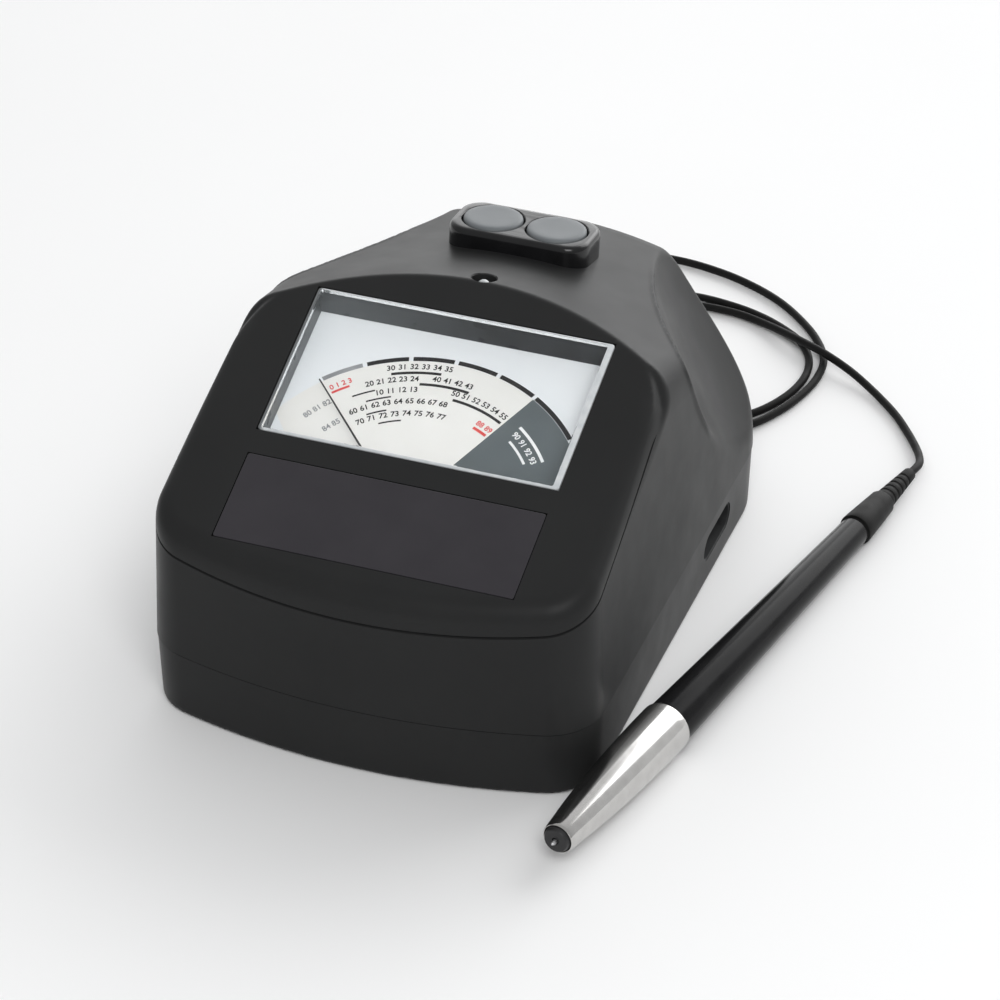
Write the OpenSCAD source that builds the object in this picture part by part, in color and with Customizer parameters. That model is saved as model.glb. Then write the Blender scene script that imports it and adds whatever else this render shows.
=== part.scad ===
// Counter-top gemstone tester: a wedge-shaped housing with an analogue meter, two keys on the roof,
// a rocker switch in the right wall and a pen-shaped probe on a loose cord.
// Millimetres, +Z up, the counter at z = 0, the front towards -Y, the origin under the middle of the base.

/* [Housing] */
// Width over the straight side walls
body_w = 104.6; // [95:0.2:115]
// Length from the bowed front to the bowed rear
body_len = 151.4; // [142:0.2:160]
// Height of the crest where the face meets the roof
crest_h = 78.8; // [76:0.2:84]
// How far the crest lies behind the middle of the base
crest_y = 7.6; // [4:0.2:12]
// Slope of the face, in degrees
face_tilt = 21; // [19:0.5:23]
// Slope of the roof behind the crest, in degrees
roof_slope = 14; // [12:0.5:16]
// Crosswise crown radius of the roof
crown_r = 130; // [110:5:160]
// Radius of the bow of the front and rear walls
bow_r = 142; // [120:2:180]
// Radius of the two front corners
front_corner_r = 10; // [8:1:16]
// Radius of the two rear corners
rear_corner_r = 18; // [12:1:22]
// How far the rear wall leans forward, in degrees
rear_lean = 13; // [8:1:15]
// Radius of the finger scoops in the rear corners
scoop_r = 121.6; // [115:0.2:125]
// Thickness of the housing's walls
wall = 2.4; // [1.8:0.1:3]
// Height of the seam between the upper and the lower housing
seam_h = 17; // [16:0.5:19]
// How far the lower housing stands inside the upper one at the seam
seam_step = 0.3; // [0.1:0.1:1]
// Depth of the rebate along the sides of the face
rebate = 1; // [0.6:0.1:1.4]
// Diameter of the foot pads' seats
foot_d = 12; // [8:1:16]
// Thickness of the foot pads
foot_h = 1.2; // [0.8:0.1:1.6]

/* [Meter] */
// Width of the clear window
window_w = 71.2; // [64:0.2:74]
// Height of the clear window along the face
window_h = 41; // [36:0.5:42]
// Distance of the window's top edge from the crest, along the face
window_gap = 10.1; // [9:0.1:14]
// Depth of the dial under the face
dial_depth = 7.6; // [7:0.1:9]
// Distance of the needle's pivot from the crest, along the face
pivot_gap = 60.1; // [58:0.1:62]
// Length of the needle from its pivot to its tip
needle_len = 40.3; // [34:0.1:41]
// Angle of the needle at rest, left of the middle of the scale, in degrees
needle_rest = 45; // [40:1:50]
// Depth of the meter's case under the face
case_depth = 30; // [29:0.5:32]
// Radius of the magnet ring of the movement
magnet_r = 13; // [12:0.5:14]
// Width of the bare label plate
label_w = 70.2; // [60:0.2:74]
// Height of the label plate along the face
label_h = 23; // [18:0.5:24]
// Thickness of the label plate
label_t = 0.8; // [0.5:0.1:1.2]

/* [Keys] */
// Width of the key block
key_block_w = 34.2; // [34:0.2:40]
// Depth of the key block, front to back
key_block_d = 17.4; // [17:0.2:22]
// Height of the middle of the key block's top over the roof
key_rise = 5.33; // [4.8:0.01:8]
// Distance of the keys behind the middle of the base
key_y = 37.8; // [36:0.2:40]
// How far the key block's top leans back, in degrees
key_tilt = 7; // [4:0.5:10]
// Diameter of a key's disc
key_d = 14; // [11:0.2:14.6]
// Distance between the two keys
key_pitch = 15.6; // [15.4:0.1:17]
// Travel of a key
key_travel = 1; // [0.6:0.1:1.2]

/* [Power] */
// Length of the rocker switch's frame
rocker_len = 20; // [18:0.5:24]
// Height of the rocker switch's frame
rocker_h = 7; // [6:0.2:8]
// Distance of the rocker behind the middle of the base
rocker_y = 25.5; // [22:0.5:30]
// Height of the rocker's middle over the counter
rocker_z = 10.2; // [9:0.1:11]
// Diameter of a battery cell
cell_d = 10.5; // [10:0.1:11]
// Length of a battery cell
cell_len = 44.5; // [40:0.5:46]

/* [Probe] */
// Largest diameter of the probe, where the nose cone meets the barrel
probe_d = 12.3; // [11:0.1:13]
// Length of the nose cone
cone_len = 48; // [44:0.5:54]
// Diameter of the nose cone's front end
cone_tip_d = 7.4; // [6.4:0.1:8]
// Length of the barrel
barrel_len = 91.4; // [84:0.2:96]
// Diameter of the barrel's rear end
barrel_end_d = 7.3; // [7:0.1:8]
// Largest diameter of the tail sleeve
sleeve_d = 8.2; // [8.1:0.1:9]
// Length of the tail sleeve
sleeve_len = 15; // [12:0.5:15.5]
// Length of the probe's cord relief
relief_len = 14.5; // [11:0.5:16]
// Diameter of the sliding tip
tip_d = 1.2; // [0.8:0.1:1.4]
// Travel of the sliding tip
tip_travel = 1.2; // [0.6:0.1:1.4]
// Diameter of the cord
cord_d = 2; // [1.6:0.1:2.2]

/* [Fits] */
// Clearance around a piece that is seated
seat_gap = 0.2; // [0.1:0.05:0.3]
// Clearance around a piece that moves
run_gap = 0.35; // [0.25:0.05:0.5]
// Clearance between faces that rest on each other
rest_gap = 0.05; // [0.02:0.01:0.1]
// Diameter of the housing screws
screw_d = 3; // [2.5:0.1:3.5]

/* [Hidden] */
$fn = 64;
reach = 400;
half_w = body_w / 2;
half_len = body_len / 2;

// How far a corner's round stands over its tangent, so that it meets the walls at a slight angle
corner_ease = 0.03;

// Colours, as the photograph shows them
charcoal = [0.19, 0.19, 0.20];
dark = [0.10, 0.10, 0.11];
label_grey = [0.28, 0.27, 0.29];
key_grey = [0.54, 0.55, 0.56];
black = [0.05, 0.05, 0.05];
steel = [0.72, 0.72, 0.72];
brass = [0.78, 0.64, 0.32];
copper = [0.72, 0.42, 0.25];
board_green = [0.10, 0.32, 0.20];
white = [0.93, 0.93, 0.90];
clear = [0.85, 0.90, 0.95, 0.35];

// Rear edge of the roof: the rear wall leans forward from above the seam's tongue up to it
tongue_h = 3;
lean_low = seam_h + tongue_h + 0.2;
rear_edge_y = (half_len - (crest_h + tan(roof_slope) * crest_y - lean_low) * tan(rear_lean))
    / (1 - tan(roof_slope) * tan(rear_lean));
rear_edge_h = crest_h - tan(roof_slope) * (rear_edge_y - crest_y);
// Axis of a finger scoop, a tilted cylinder: a point on it and its direction
scoop_point = [half_w + scoop_r + 0.8, 55.2, crest_h - 22.7];
scoop_axis = [-0.67, 0.417, 1];

// Small screws of the meter and of the key board
small_screw_d = 2;
small_head_h = 1.4;

// Meter, in the plane of the face: the middle of the window, the case and its floor
window_v = -window_gap - window_h / 2;
case_w = window_w + 7.2;
case_top = -window_gap + 2.6;
case_low = -pivot_gap - 15;
case_wall = 1.6;
case_rim = -wall - rest_gap;
case_floor = -case_depth + case_wall;
ear_t = 2;
ear_w = 7.6;
ear_d = 6;
ear_out = 3.4;
terminal_r = 2;
terminal_x = 18;
terminal_out = 7;
terminal_head_r = 3.2;
terminal_nut_r = 3.6;
terminal_nut_h = 3;
pillar_r = 3;
pillar_bore_r = 0.9;
dial_head_h = 0.8;
dial_screw_len = 5;
cover_t = 1.6;
skirt_t = 1.4;
dial_t = 0.4;
dial_low = -pivot_gap - 4;
needle_w = -dial_depth + 2.2;
pillar_x = case_w / 2 - 14;
pillar_low = -pivot_gap + 4;
pillar_top = -window_gap - 6;
label_v = -window_gap - window_h - 6.7 - label_h / 2;

// Moving-coil movement, levels under the face
core_r = magnet_r / 2;
magnet_in_r = magnet_r - 3;
magnet_low = case_floor + 3.4;
magnet_high = magnet_low + 10;
coil_low = magnet_low - 1;
coil_high = magnet_high + 1;
bridge_low = coil_high + 1.6;
bridge_t = 1.5;
shaft_r = 0.5;
shaft_low = case_floor + 1.5 + rest_gap;

// Keys: levels in the frame of the key block's top
key_top_h = crest_h - tan(roof_slope) * (key_y - crest_y) + key_rise;
key_x = key_pitch / 2;
key_proud = 0.6;
key_t = 3;
stem_d = 5;
stem_low = -key_rise - 5.67;
key_board_top = stem_low - key_travel - 0.2;
key_board_t = 1.2;
key_boss_r = 2.6;
key_boss_x = key_block_w / 2 - key_boss_r;
key_corner_r = 5.5;
key_sheet_t = 0.4;
key_rim = 0.9;

// Lamp behind the crest
lamp_v = 2.8;
lamp_hole_d = 5.8;
lamp_d = 3;

// Lower housing
floor_t = wall;
post_x = half_w - 7.15;
post_front_y = -half_len + 17.5;
post_rear_y = half_len - 19;
post_r = 4.5;
post_low = 5;
head_d = screw_d * 2;
head_h = 2.2;
screw_len = 15;
screw_inset = 0.4;
bay_len = cell_len + 4.4;
cell_pitch = cell_d + 0.9;
bay_d = 3 * cell_pitch + 1;
bay_y = -8.5;
bay_wall = 1.6;
bay_h = floor_t + cell_d + 1.2;
cell_z = floor_t + rest_gap + cell_d / 2;
door_lip = 2.4;
board_z = bay_h + bay_wall + 5.6;
board_t = 1.6;
board_w = 78;
board_front = -27;
board_rear = 36;
board_post_x = board_w / 2 - 9;
board_post_y = [board_front + 5, board_rear - 5];
board_post_r = 3.4;
board_screw_d = 2.5;
board_head_h = 1.6;
board_screw_len = 8;
// Parts on the board: width, depth and height of the chips, the relay and the plug, and the two capacitors
chip = [12, 9, 2.2];
small_chip = [10, 6, 1.8];
relay = [14, 8, 5];
plug = [16, 6, 7];
capacitor_r = 4;
capacitor_h = 9;
// How far those parts lie from the board's rear edge, and the small chips from its front edge
chip_in = 20;
relay_in = 22;
capacitor_in = [14, 26];
small_chip_in = 24;

// Rocker switch
rocker_face = half_w - seam_step;
rocker_depth = 6;
rocker_back = rocker_face - rocker_depth;
rocker_wall = 1.2;
rocker_axis_x = rocker_face - 3;
rocker_pin_r = 0.8;
rocker_swing = 8;

// Cord gland in the middle of the lower housing's rear wall
gland_z = 9;
gland_r = 3.2;
gland_out = 12;
gland_flange_r = 3.9;
// Level of the inner flange's face, clear of the bowed wall at the flange's edge
gland_seat = -wall - rest_gap - gland_flange_r * gland_flange_r / (2 * (bow_r - wall));

// Probe: the place of the junction of cone and barrel, its heading and its droop towards the tail,
// with which it lies on the junction and on the tail sleeve
probe_x = 63.13;
probe_y = -44.83;
probe_heading = 11;
probe_z = probe_d / 2 + rest_gap;
probe_droop = asin((probe_d - sleeve_d) / 2 / barrel_len);
spigot_len = 9;
spigot_r = probe_d / 2 - 2;
insert_len = 6;
insert_r = cone_tip_d / 2 - 0.55;
insert_out = 1;
tip_out = insert_out + tip_travel + 0.2;
carrier_r = 1.9;
carrier_low = -cone_len + 16;
collar_r = 1.5;
tip_point = 0.8;
tip_rod_in = carrier_low + cone_len + 6;
barrel_bore_r = barrel_end_d / 2 - 1.3;
relief_r = 2.65;
relief_end_r = cord_d / 2 + 0.6;

// Route of the cord from the gland to the probe, chosen by hand: two loose loops behind the housing
cord_route = [
    [0, 87.5, 9], [0, 90, 9], [-1, 94.6, 8.8], [-6, 101, 7.8], [-14, 107.5, 6.2], [-24, 113.5, 4.2],
    [-33, 122, 1.8], [-33.5, 135, 1.1], [-24, 146.5, 1.1], [-11, 151.2, 1.1], [2.5, 152, 1.1],
    [13.6, 150.2, 1.1], [23, 146.9, 1.1], [32, 142, 1.1], [39.6, 135.7, 1.1], [46.5, 127.9, 1.1],
    [51.1, 119.3, 1.1], [52, 110.3, 1.1], [50.4, 101, 1.1], [47.3, 92.5, 1.1], [42.6, 84.8, 1.1],
    [35.4, 79.6, 1.1], [27, 78, 1.1], [19, 78.2, 1.1], [4, 80, 1.1], [-11, 86.6, 1.1], [-21, 99, 1.1],
    [-22.5, 113, 1.1], [-15.5, 126.5, 1.1], [-3, 134.2, 1.1], [11, 136.6, 1.1], [22.2, 135.5, 1.1],
    [31, 132.8, 1.1], [38.4, 128.8, 1.1], [43.7, 124.5, 1.1], [47.6, 118, 1.1], [49, 110.5, 1.1],
    [48, 102.6, 1.1], [44.9, 94.6, 1.1], [40.3, 88.2, 1.1], [33.4, 84.2, 1.1], [26, 82.4, 1.1],
    [18, 82.2, 1.1], [5, 85, 1.1], [-6, 93, 1.1], [-12, 106, 1.1], [-10, 118, 1.1], [-1, 127.8, 1.1],
    [11.5, 132.4, 1.1], [23, 132.5, 1.2], [32, 129.6, 1.6], [39.8, 124.9, 2.8], [45.7, 121.2, 3.5],
    [51.7, 118.2, 3.5], [59.5, 114.3, 2.4], [66.8, 109.1, 1.4], [74.6, 101.5, 1.1], [80.4, 93.7, 1.2],
    [84.2, 87.4, 1.6], [86.1, 83.2, 2.1], [86.9, 79.9, 2.7], [86.8, 76.9, 3.2], [86.2, 73.95, 3.47]
];
cord_sides = 8;
cord_steps = 2;

// Frames of reference

module face_frame() {
    translate([0, crest_y, crest_h]) rotate([face_tilt, 0, 0]) children();
}

module roof_frame() {
    translate([0, crest_y, crest_h]) rotate([-roof_slope, 0, 0]) children();
}

module key_frame() {
    translate([0, key_y, key_top_h]) rotate([-key_tilt, 0, 0]) children();
}

// The probe's axis runs along +Y of this frame, from the nose to the tail
module probe_frame() {
    translate([probe_x, probe_y, probe_z]) rotate([0, 0, -probe_heading]) rotate([-probe_droop, 0, 0])
        children();
}

// A piece drawn along +Z is laid along the probe's axis
module along_probe(y) {
    translate([0, y, 0]) rotate([-90, 0, 0]) children();
}

// Shapes that repeat

// Flat plate with rounded corners, its top at z = 0
module round_plate(w, d, t, r) {
    translate([0, 0, -t]) linear_extrude(t) {
        square([w - 2 * r, d], center = true);
        square([w, d - 2 * r], center = true);
        for (sx = [-1, 1], sy = [-1, 1])
            translate([sx * (w / 2 - r), sy * (d / 2 - r)]) circle(r);
    }
}

module block(w, d, low, high) {
    translate([-w / 2, -d / 2, low]) cube([w, d, high - low]);
}

module rod(r, low, high) {
    translate([0, 0, low]) cylinder(r = r, h = high - low);
}

module ring(r_out, r_in, low, high) {
    difference() {
        rod(r_out, low, high);
        rod(r_in, low - 1, high + 1);
    }
}

// Long slot with round ends, along Y, pushed out along X
module slot_x(len, h, x0, x1) {
    translate([x0, 0, 0]) rotate([0, 90, 0]) linear_extrude(x1 - x0) {
        square([h, len - h], center = true);
        for (s = [-1, 1]) translate([0, s * (len - h) / 2]) circle(h / 2);
    }
}

// Pan-head screw, head at z = 0 pointing down, shank up to z = len
module screw(d, head, head_h, len) {
    difference() {
        union() {
            rod(head / 2, 0, head_h);
            rod(d / 2, 0, len);
        }
        for (a = [0, 90]) rotate([0, 0, a]) block(head * 0.6, d * 0.25, -1, head_h * 0.5);
    }
}

module small_screw(len) {
    screw(small_screw_d, small_screw_d * 1.9, small_head_h, len);
}

// What is cut off a corner of the plan, beyond its round
module corner_cut(r, t) {
    cx = half_w - r;
    away = bow_r - r;
    cy = sqrt(away * away - cx * cx);
    out = [cx / away, cy / away];
    far = r + 12;
    translate([cx, cy]) difference() {
        polygon([[0, 0], [far, 0], [far + out.x * far, out.y * far], out * far]);
        circle(r - t + corner_ease);
    }
}

// Plan of the housing, drawn in by t and pushed up: where its front end and its rear end overlap
module plan_solid(t, low, high) {
    translate([0, 0, low]) linear_extrude(high - low) intersection() {
        plan_end(t, 0);
        plan_end(t, 1);
    }
}

// One end of the plan: its bow, its two corners and the straight sides
module plan_end(t, front) {
    r = front == 1 ? front_corner_r : rear_corner_r;
    mirror([0, front]) difference() {
        intersection() {
            square([2 * (half_w - t), reach], center = true);
            translate([0, half_len - bow_r]) circle(bow_r - t, $fn = 128);
        }
        for (s = [0, 1]) mirror([s, 0]) translate([0, half_len - bow_r]) corner_cut(r, t);
    }
}

module scoop(side, t) {
    yaw = atan2(scoop_axis.y, scoop_axis.x);
    lean = acos(scoop_axis.z / norm(scoop_axis));
    mirror([side, 0, 0]) translate(scoop_point) rotate([0, lean, yaw])
        cylinder(r = scoop_r + t, h = reach, center = true, $fn = 128);
}

// Everything under the crowned roof, drawn in by t
module under_roof(t) {
    roof_frame() translate([0, 0, -crown_r]) rotate([90, 0, 0])
        cylinder(r = crown_r - t, h = reach, center = true, $fn = 128);
}

// Solid of the whole housing, drawn in by t
module form(t) {
    difference() {
        intersection() {
            plan_solid(t, 0, crest_h + 8);
            face_frame() block(reach, reach, -reach, -t);
            under_roof(t);
            translate([0, rear_edge_y, rear_edge_h]) rotate([rear_lean, 0, 0]) translate([0, -bow_r, 0])
                cylinder(r = bow_r - t, h = reach, center = true, $fn = 128);
        }
        for (s = [0, 1]) scoop(s, t);
    }
}

// Housing

// Strip along a side of the face that lies lower than the face
module face_rebate() {
    edge = half_w - 3.6;
    for (s = [0, 1]) mirror([s, 0, 0]) face_frame() translate([0, 0, -rebate]) linear_extrude(20)
        polygon([[edge, -13.4], [half_w + 0.2, -70], [half_w + 20, -70], [half_w + 20, 30], [edge, 30]]);
}

module at_posts() {
    for (sx = [-1, 1], y = [post_front_y, post_rear_y]) translate([sx * post_x, y, 0]) children();
}

module at_meter_ears() {
    for (sx = [-1, 1], v = [pillar_top - 4, pillar_low])
        translate([sx * (case_w / 2 + ear_out), v, 0]) children();
}

module at_keys() {
    for (s = [-1, 1]) translate([s * key_x, 0, 0]) children();
}

module at_key_bosses() {
    for (s = [-1, 1]) translate([s * key_boss_x, 0, 0]) children();
}

module upper_housing() {
    color(charcoal) difference() {
        union() {
            difference() {
                form(0);
                block(reach, reach, -1, seam_h);
                form(wall);
                face_rebate();
            }
            intersection() {
                form(wall / 2);
                at_posts() rod(post_r, post_low, crest_h);
            }
            intersection() {
                form(wall / 2);
                key_frame() at_key_bosses() rod(key_boss_r, key_board_top, 0);
            }
        }
        at_posts() rod(screw_d / 2 + rest_gap, 0, post_low + screw_len);
        key_frame() {
            at_keys() rod(stem_d / 2 + run_gap, -30, 10);
            at_key_bosses() rod(small_screw_d / 2 + rest_gap, key_board_top - 1, key_board_top + 4);
        }
        face_frame() {
            translate([0, window_v, 0])
                block(window_w + 2 * seat_gap, window_h + 2 * seat_gap, -wall - 1, 1);
            translate([0, label_v, 0])
                block(label_w + 2 * seat_gap, label_h + 2 * seat_gap, -label_t - rest_gap, 1);
            at_meter_ears() rod(small_screw_d / 2 + rest_gap, -wall - 1, -wall + 1.2);
        }
        roof_frame() translate([0, lamp_v, 0]) rod(lamp_hole_d / 2, -8, 5);
    }
}

module at_board_posts() {
    for (sx = [-1, 1], y = board_post_y) translate([sx * board_post_x, y, 0]) children();
}

module lower_housing() {
    color(charcoal) difference() {
        union() {
            difference() {
                plan_solid(seam_step, 0, seam_h);
                plan_solid(seam_step + wall, floor_t, seam_h + 1);
            }
            difference() {
                plan_solid(wall + seat_gap, seam_h - 4, seam_h + tongue_h);
                plan_solid(wall + seat_gap + 1.6, seam_h - 5, seam_h + tongue_h + 1);
            }
            translate([0, bay_y, 0])
                block(bay_len + 2 * bay_wall, bay_d + 2 * bay_wall, 0, bay_h + bay_wall);
            at_posts() rod(post_r, 0, post_low - rest_gap);
            at_board_posts() rod(board_post_r, 0, board_z);
        }
        translate([0, bay_y, 0]) {
            block(bay_len, bay_d, -1, bay_h);
            block(bay_len + 2 * door_lip, bay_d + 2 * door_lip, -1, floor_t / 2);
        }
        at_posts() {
            rod(screw_d / 2 + seat_gap, -1, post_low + 1);
            rod(head_d / 2 + seat_gap, -1, head_h + screw_inset);
        }
        at_board_posts() rod(board_screw_d / 2 + rest_gap, board_z - board_screw_len + 1, board_z + 1);
        at_posts() rod(post_r + seat_gap, post_low - rest_gap, seam_h + 5);
        at_feet() rod(foot_d / 2, -1, foot_h);
        rocker_slot(0, half_w - 12, half_w + 5);
        translate([0, 0, gland_z]) rotate([-90, 0, 0]) rod(gland_r + rest_gap, half_len - 20, half_len + 5);
    }
}

module at_feet() {
    for (sx = [-1, 1], sy = [-1, 1]) translate([sx * (half_w - 19), sy * (half_len - 15), 0]) children();
}

module battery_door() {
    lip = door_lip - seat_gap;
    color(charcoal) translate([0, bay_y, 0]) {
        block(bay_len + 2 * lip, bay_d + 2 * lip, 0, floor_t / 2 - rest_gap);
        block(bay_len - 2 * seat_gap, bay_d - 2 * seat_gap, 0, floor_t);
    }
}

module foot_pads() {
    color(black) at_feet() rod(foot_d / 2 - seat_gap, 0, foot_h - rest_gap);
}

module housing_screws() {
    color(steel) at_posts() translate([0, 0, screw_inset - rest_gap])
        screw(screw_d, head_d, head_h, screw_len);
}

module label_plate() {
    color(label_grey) face_frame() translate([0, label_v, 0]) block(label_w, label_h, -label_t, 0);
}

// Meter

module meter_cover() {
    w = window_w;
    h = window_h;
    color(clear) face_frame() translate([0, window_v, 0]) difference() {
        block(w, h, -dial_depth + rest_gap, 0);
        block(w - 2 * skirt_t, h - 2 * skirt_t, -dial_depth - 1, -cover_t);
        translate([0, -h / 2, 0]) block(w - 2 * skirt_t, 8, -dial_depth - 1, -cover_t - 1.4);
    }
}

module case_plan(t, low, high) {
    translate([-case_w / 2 + t, case_low + t, low])
        cube([case_w - 2 * t, case_top - case_low - 2 * t, high - low]);
}

module at_pillars(vs) {
    for (sx = [-1, 1], v = vs) translate([sx * pillar_x, v, 0]) children();
}

module at_terminals() {
    for (s = [-1, 1]) translate([s * terminal_x, window_v, 0]) children();
}

// Open tray under the face, cut to the roof and the walls and round the housing's posts
module meter_case() {
    color(dark) difference() {
        intersection() {
            plan_solid(wall + seat_gap, 0, crest_h);
            under_roof(wall + seat_gap);
            case_tray();
        }
        at_posts() rod(post_r + seat_gap, 0, crest_h);
    }
}

module case_tray() {
    face_frame() difference() {
        union() {
            difference() {
                case_plan(0, -case_depth, case_rim);
                case_plan(case_wall, case_floor, 1);
            }
            at_pillars([pillar_low, pillar_top])
                rod(pillar_r, case_floor - 0.5, -dial_depth - dial_t - rest_gap);
            at_meter_ears() block(ear_w, ear_d, case_rim - ear_t, case_rim);
        }
        at_meter_ears() rod(small_screw_d / 2 + seat_gap, case_rim - ear_t - 1, case_rim + 1);
        at_pillars([pillar_low]) rod(pillar_bore_r + rest_gap, -dial_depth - 6, 0);
        at_terminals() rod(terminal_r + seat_gap, -case_depth - 1, case_floor + 1);
    }
}

module meter_screws() {
    low = case_rim - ear_t - rest_gap - small_head_h;
    color(steel) face_frame() at_meter_ears() translate([0, 0, low]) small_screw(4.2);
}

module dial_plate() {
    top = case_top - case_wall - seat_gap;
    color(white) face_frame() difference() {
        translate([-case_w / 2 + case_wall + seat_gap, dial_low, -dial_depth - dial_t])
            cube([case_w - 2 * (case_wall + seat_gap), top - dial_low, dial_t]);
        translate([0, -pivot_gap, 0]) rod(8, -dial_depth - 2, 0);
        at_pillars([pillar_low]) rod(pillar_bore_r + rest_gap, -dial_depth - 2, 0);
    }
}

module dial_screws() {
    color(steel) face_frame() at_pillars([pillar_low])
        translate([0, 0, -dial_depth + rest_gap + dial_head_h]) mirror([0, 0, 1])
        screw(2 * pillar_bore_r, 3.8 * pillar_bore_r, dial_head_h, dial_screw_len);
}

module pivot_frame() {
    face_frame() translate([0, -pivot_gap, 0]) children();
}

module magnet_ring() {
    color(steel) pivot_frame() difference() {
        ring(magnet_r, magnet_in_r, case_floor + rest_gap, magnet_high);
        for (s = [-1, 1]) translate([0, s * (magnet_r - 1.5), 0])
            rod(0.8 + rest_gap, magnet_high - 3, magnet_high + 1);
    }
}

module magnet_core() {
    color(steel) pivot_frame() difference() {
        union() {
            rod(core_r, magnet_low + 1, magnet_high - 1);
            intersection() {
                block(3, 3 * magnet_r, magnet_low + 2, magnet_high - 2);
                rod(magnet_in_r - rest_gap, magnet_low, magnet_high);
            }
        }
        rod(shaft_r + 0.7, magnet_low - 1, magnet_high + 1);
    }
}

module meter_bridge() {
    color(brass) pivot_frame() difference() {
        union() {
            block(5, 2 * magnet_r, bridge_low, bridge_low + bridge_t);
            for (s = [-1, 1]) translate([0, s * (magnet_r - 1.5), 0]) {
                rod(1.4, magnet_high + rest_gap, bridge_low + 0.5);
                rod(0.8, magnet_high - 2.6, bridge_low + 0.5);
            }
        }
        rod(shaft_r + 0.2, bridge_low - 1, bridge_low + bridge_t + 1);
    }
}

module lower_jewel() {
    color(brass) pivot_frame() rod(2, case_floor + rest_gap, shaft_low - rest_gap);
}

module meter_terminals() {
    color(brass) face_frame() at_terminals() {
        rod(terminal_r, -case_depth - terminal_out, case_floor + 0.4);
        rod(terminal_head_r, case_floor + rest_gap, case_floor + 1.6);
        translate([0, 0, -case_depth - terminal_nut_h])
            cylinder(r = terminal_nut_r, h = terminal_nut_h - rest_gap, $fn = 6);
    }
}

// What turns with the needle is drawn at its rest angle
module needle_frame() {
    pivot_frame() rotate([0, 0, needle_rest]) children();
}

module needle() {
    t = 0.5;
    tail = 8;
    color(black) needle_frame() difference() {
        union() {
            rod(2, needle_w - 0.6, needle_w + 0.6);
            translate([0, 0, needle_w - t / 2]) linear_extrude(t)
                polygon([[-0.7, -tail], [0.7, -tail], [0.25, needle_len], [-0.25, needle_len]]);
            translate([0, -tail, 0]) rod(1.2, needle_w - 0.6, needle_w + 0.6);
        }
        rod(shaft_r + rest_gap, needle_w - 2, needle_w + 0.3);
    }
}

module needle_shaft() {
    color(steel) needle_frame() rod(shaft_r, shaft_low, needle_w + 0.25);
}

module moving_coil() {
    color(copper) needle_frame() difference() {
        block(2 * core_r + 4.4, 3, coil_low, coil_high);
        block(2 * core_r + 1.4, 5, magnet_low, magnet_high);
        rod(shaft_r + rest_gap, coil_low - 1, coil_high + 1);
    }
}

// Flat spiral of three turns above the coil
function spiral_point(turn, r0, pitch, side) =
    (r0 + pitch * turn + side) * [cos(360 * turn), sin(360 * turn)];

module hairspring() {
    turns = 3;
    per_turn = 16;
    thick = 0.15;
    mid = (coil_high + bridge_low) / 2;
    n = turns * per_turn;
    outer = [for (i = [0:n]) spiral_point(i / per_turn, shaft_r + 0.4, 1.2, thick)];
    inner = [for (i = [n:-1:0]) spiral_point(i / per_turn, shaft_r + 0.4, 1.2, -thick)];
    color(copper) needle_frame() {
        translate([0, 0, mid - 0.3]) linear_extrude(0.6) polygon(concat(outer, inner));
        ring(shaft_r + 0.5, shaft_r + rest_gap, mid - 0.5, mid + 0.5);
    }
}

// Keys

// Plate with the outline of the block's top, drawn in by t
module key_top_plate(t, thick) {
    round_plate(key_block_w - 2 * t, key_block_d - 2 * t, thick, key_corner_r - t);
}

module key_block() {
    color(black) difference() {
        key_frame() difference() {
            key_top_plate(0, 14);
            at_keys() rod(key_d / 2 + run_gap, -20, 5);
            translate([0, 0, 1]) key_top_plate(key_rim, 1 + key_sheet_t);
        }
        form(-rest_gap);
    }
}

// Thin rubber sheet let into the block's top, with a hole for each key
module key_sheet() {
    color(dark) key_frame() difference() {
        translate([0, 0, rest_gap]) key_top_plate(key_rim + seat_gap, key_sheet_t);
        at_keys() rod(key_d / 2 + run_gap, -20, 5);
    }
}

module key(side) {
    color(key_grey) key_frame() translate([side * key_x, 0, 0]) {
        rod(key_d / 2, key_proud - key_t, key_proud);
        rod(stem_d / 2, stem_low, 0);
    }
}

module left_key() {
    key(-1);
}

module right_key() {
    key(1);
}

module key_board() {
    color(board_green) key_frame() difference() {
        translate([0, 0, key_board_top - rest_gap])
            round_plate(key_block_w, key_block_d - 3, key_board_t, 1.5);
        at_key_bosses() rod(small_screw_d / 2 + seat_gap, key_board_top - 5, key_board_top + 5);
    }
}

module key_screws() {
    low = key_board_top - key_board_t - 2 * rest_gap - small_head_h;
    color(steel) key_frame() at_key_bosses() translate([0, 0, low]) small_screw(5.5);
}

// Lamp

module lamp_lens() {
    color(clear) roof_frame() translate([0, lamp_v, 0]) {
        rod(lamp_d / 2, -5, -2);
        translate([0, 0, -2]) sphere(lamp_d / 2);
        rod(lamp_d / 2 + 0.4, -5, -4.2);
        for (s = [-1, 1]) translate([s * 0.7, 0, 0]) rod(0.25, -14, -4.6);
    }
}

module lamp_holder() {
    color(black) roof_frame() translate([0, lamp_v, 0]) difference() {
        rod(lamp_hole_d / 2 - rest_gap, -9, -2.2);
        rod(lamp_d / 2 + rest_gap, -6, 1);
        rod(lamp_d / 2 + 0.4 + rest_gap, -10, -4.2 + rest_gap);
    }
}

// Electronics and power

module main_board() {
    color(board_green) difference() {
        translate([-board_w / 2, board_front, board_z + rest_gap])
            cube([board_w, board_rear - board_front, board_t]);
        at_board_posts() rod(board_screw_d / 2 + seat_gap, board_z - 1, board_z + 2 * board_t);
    }
}

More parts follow.
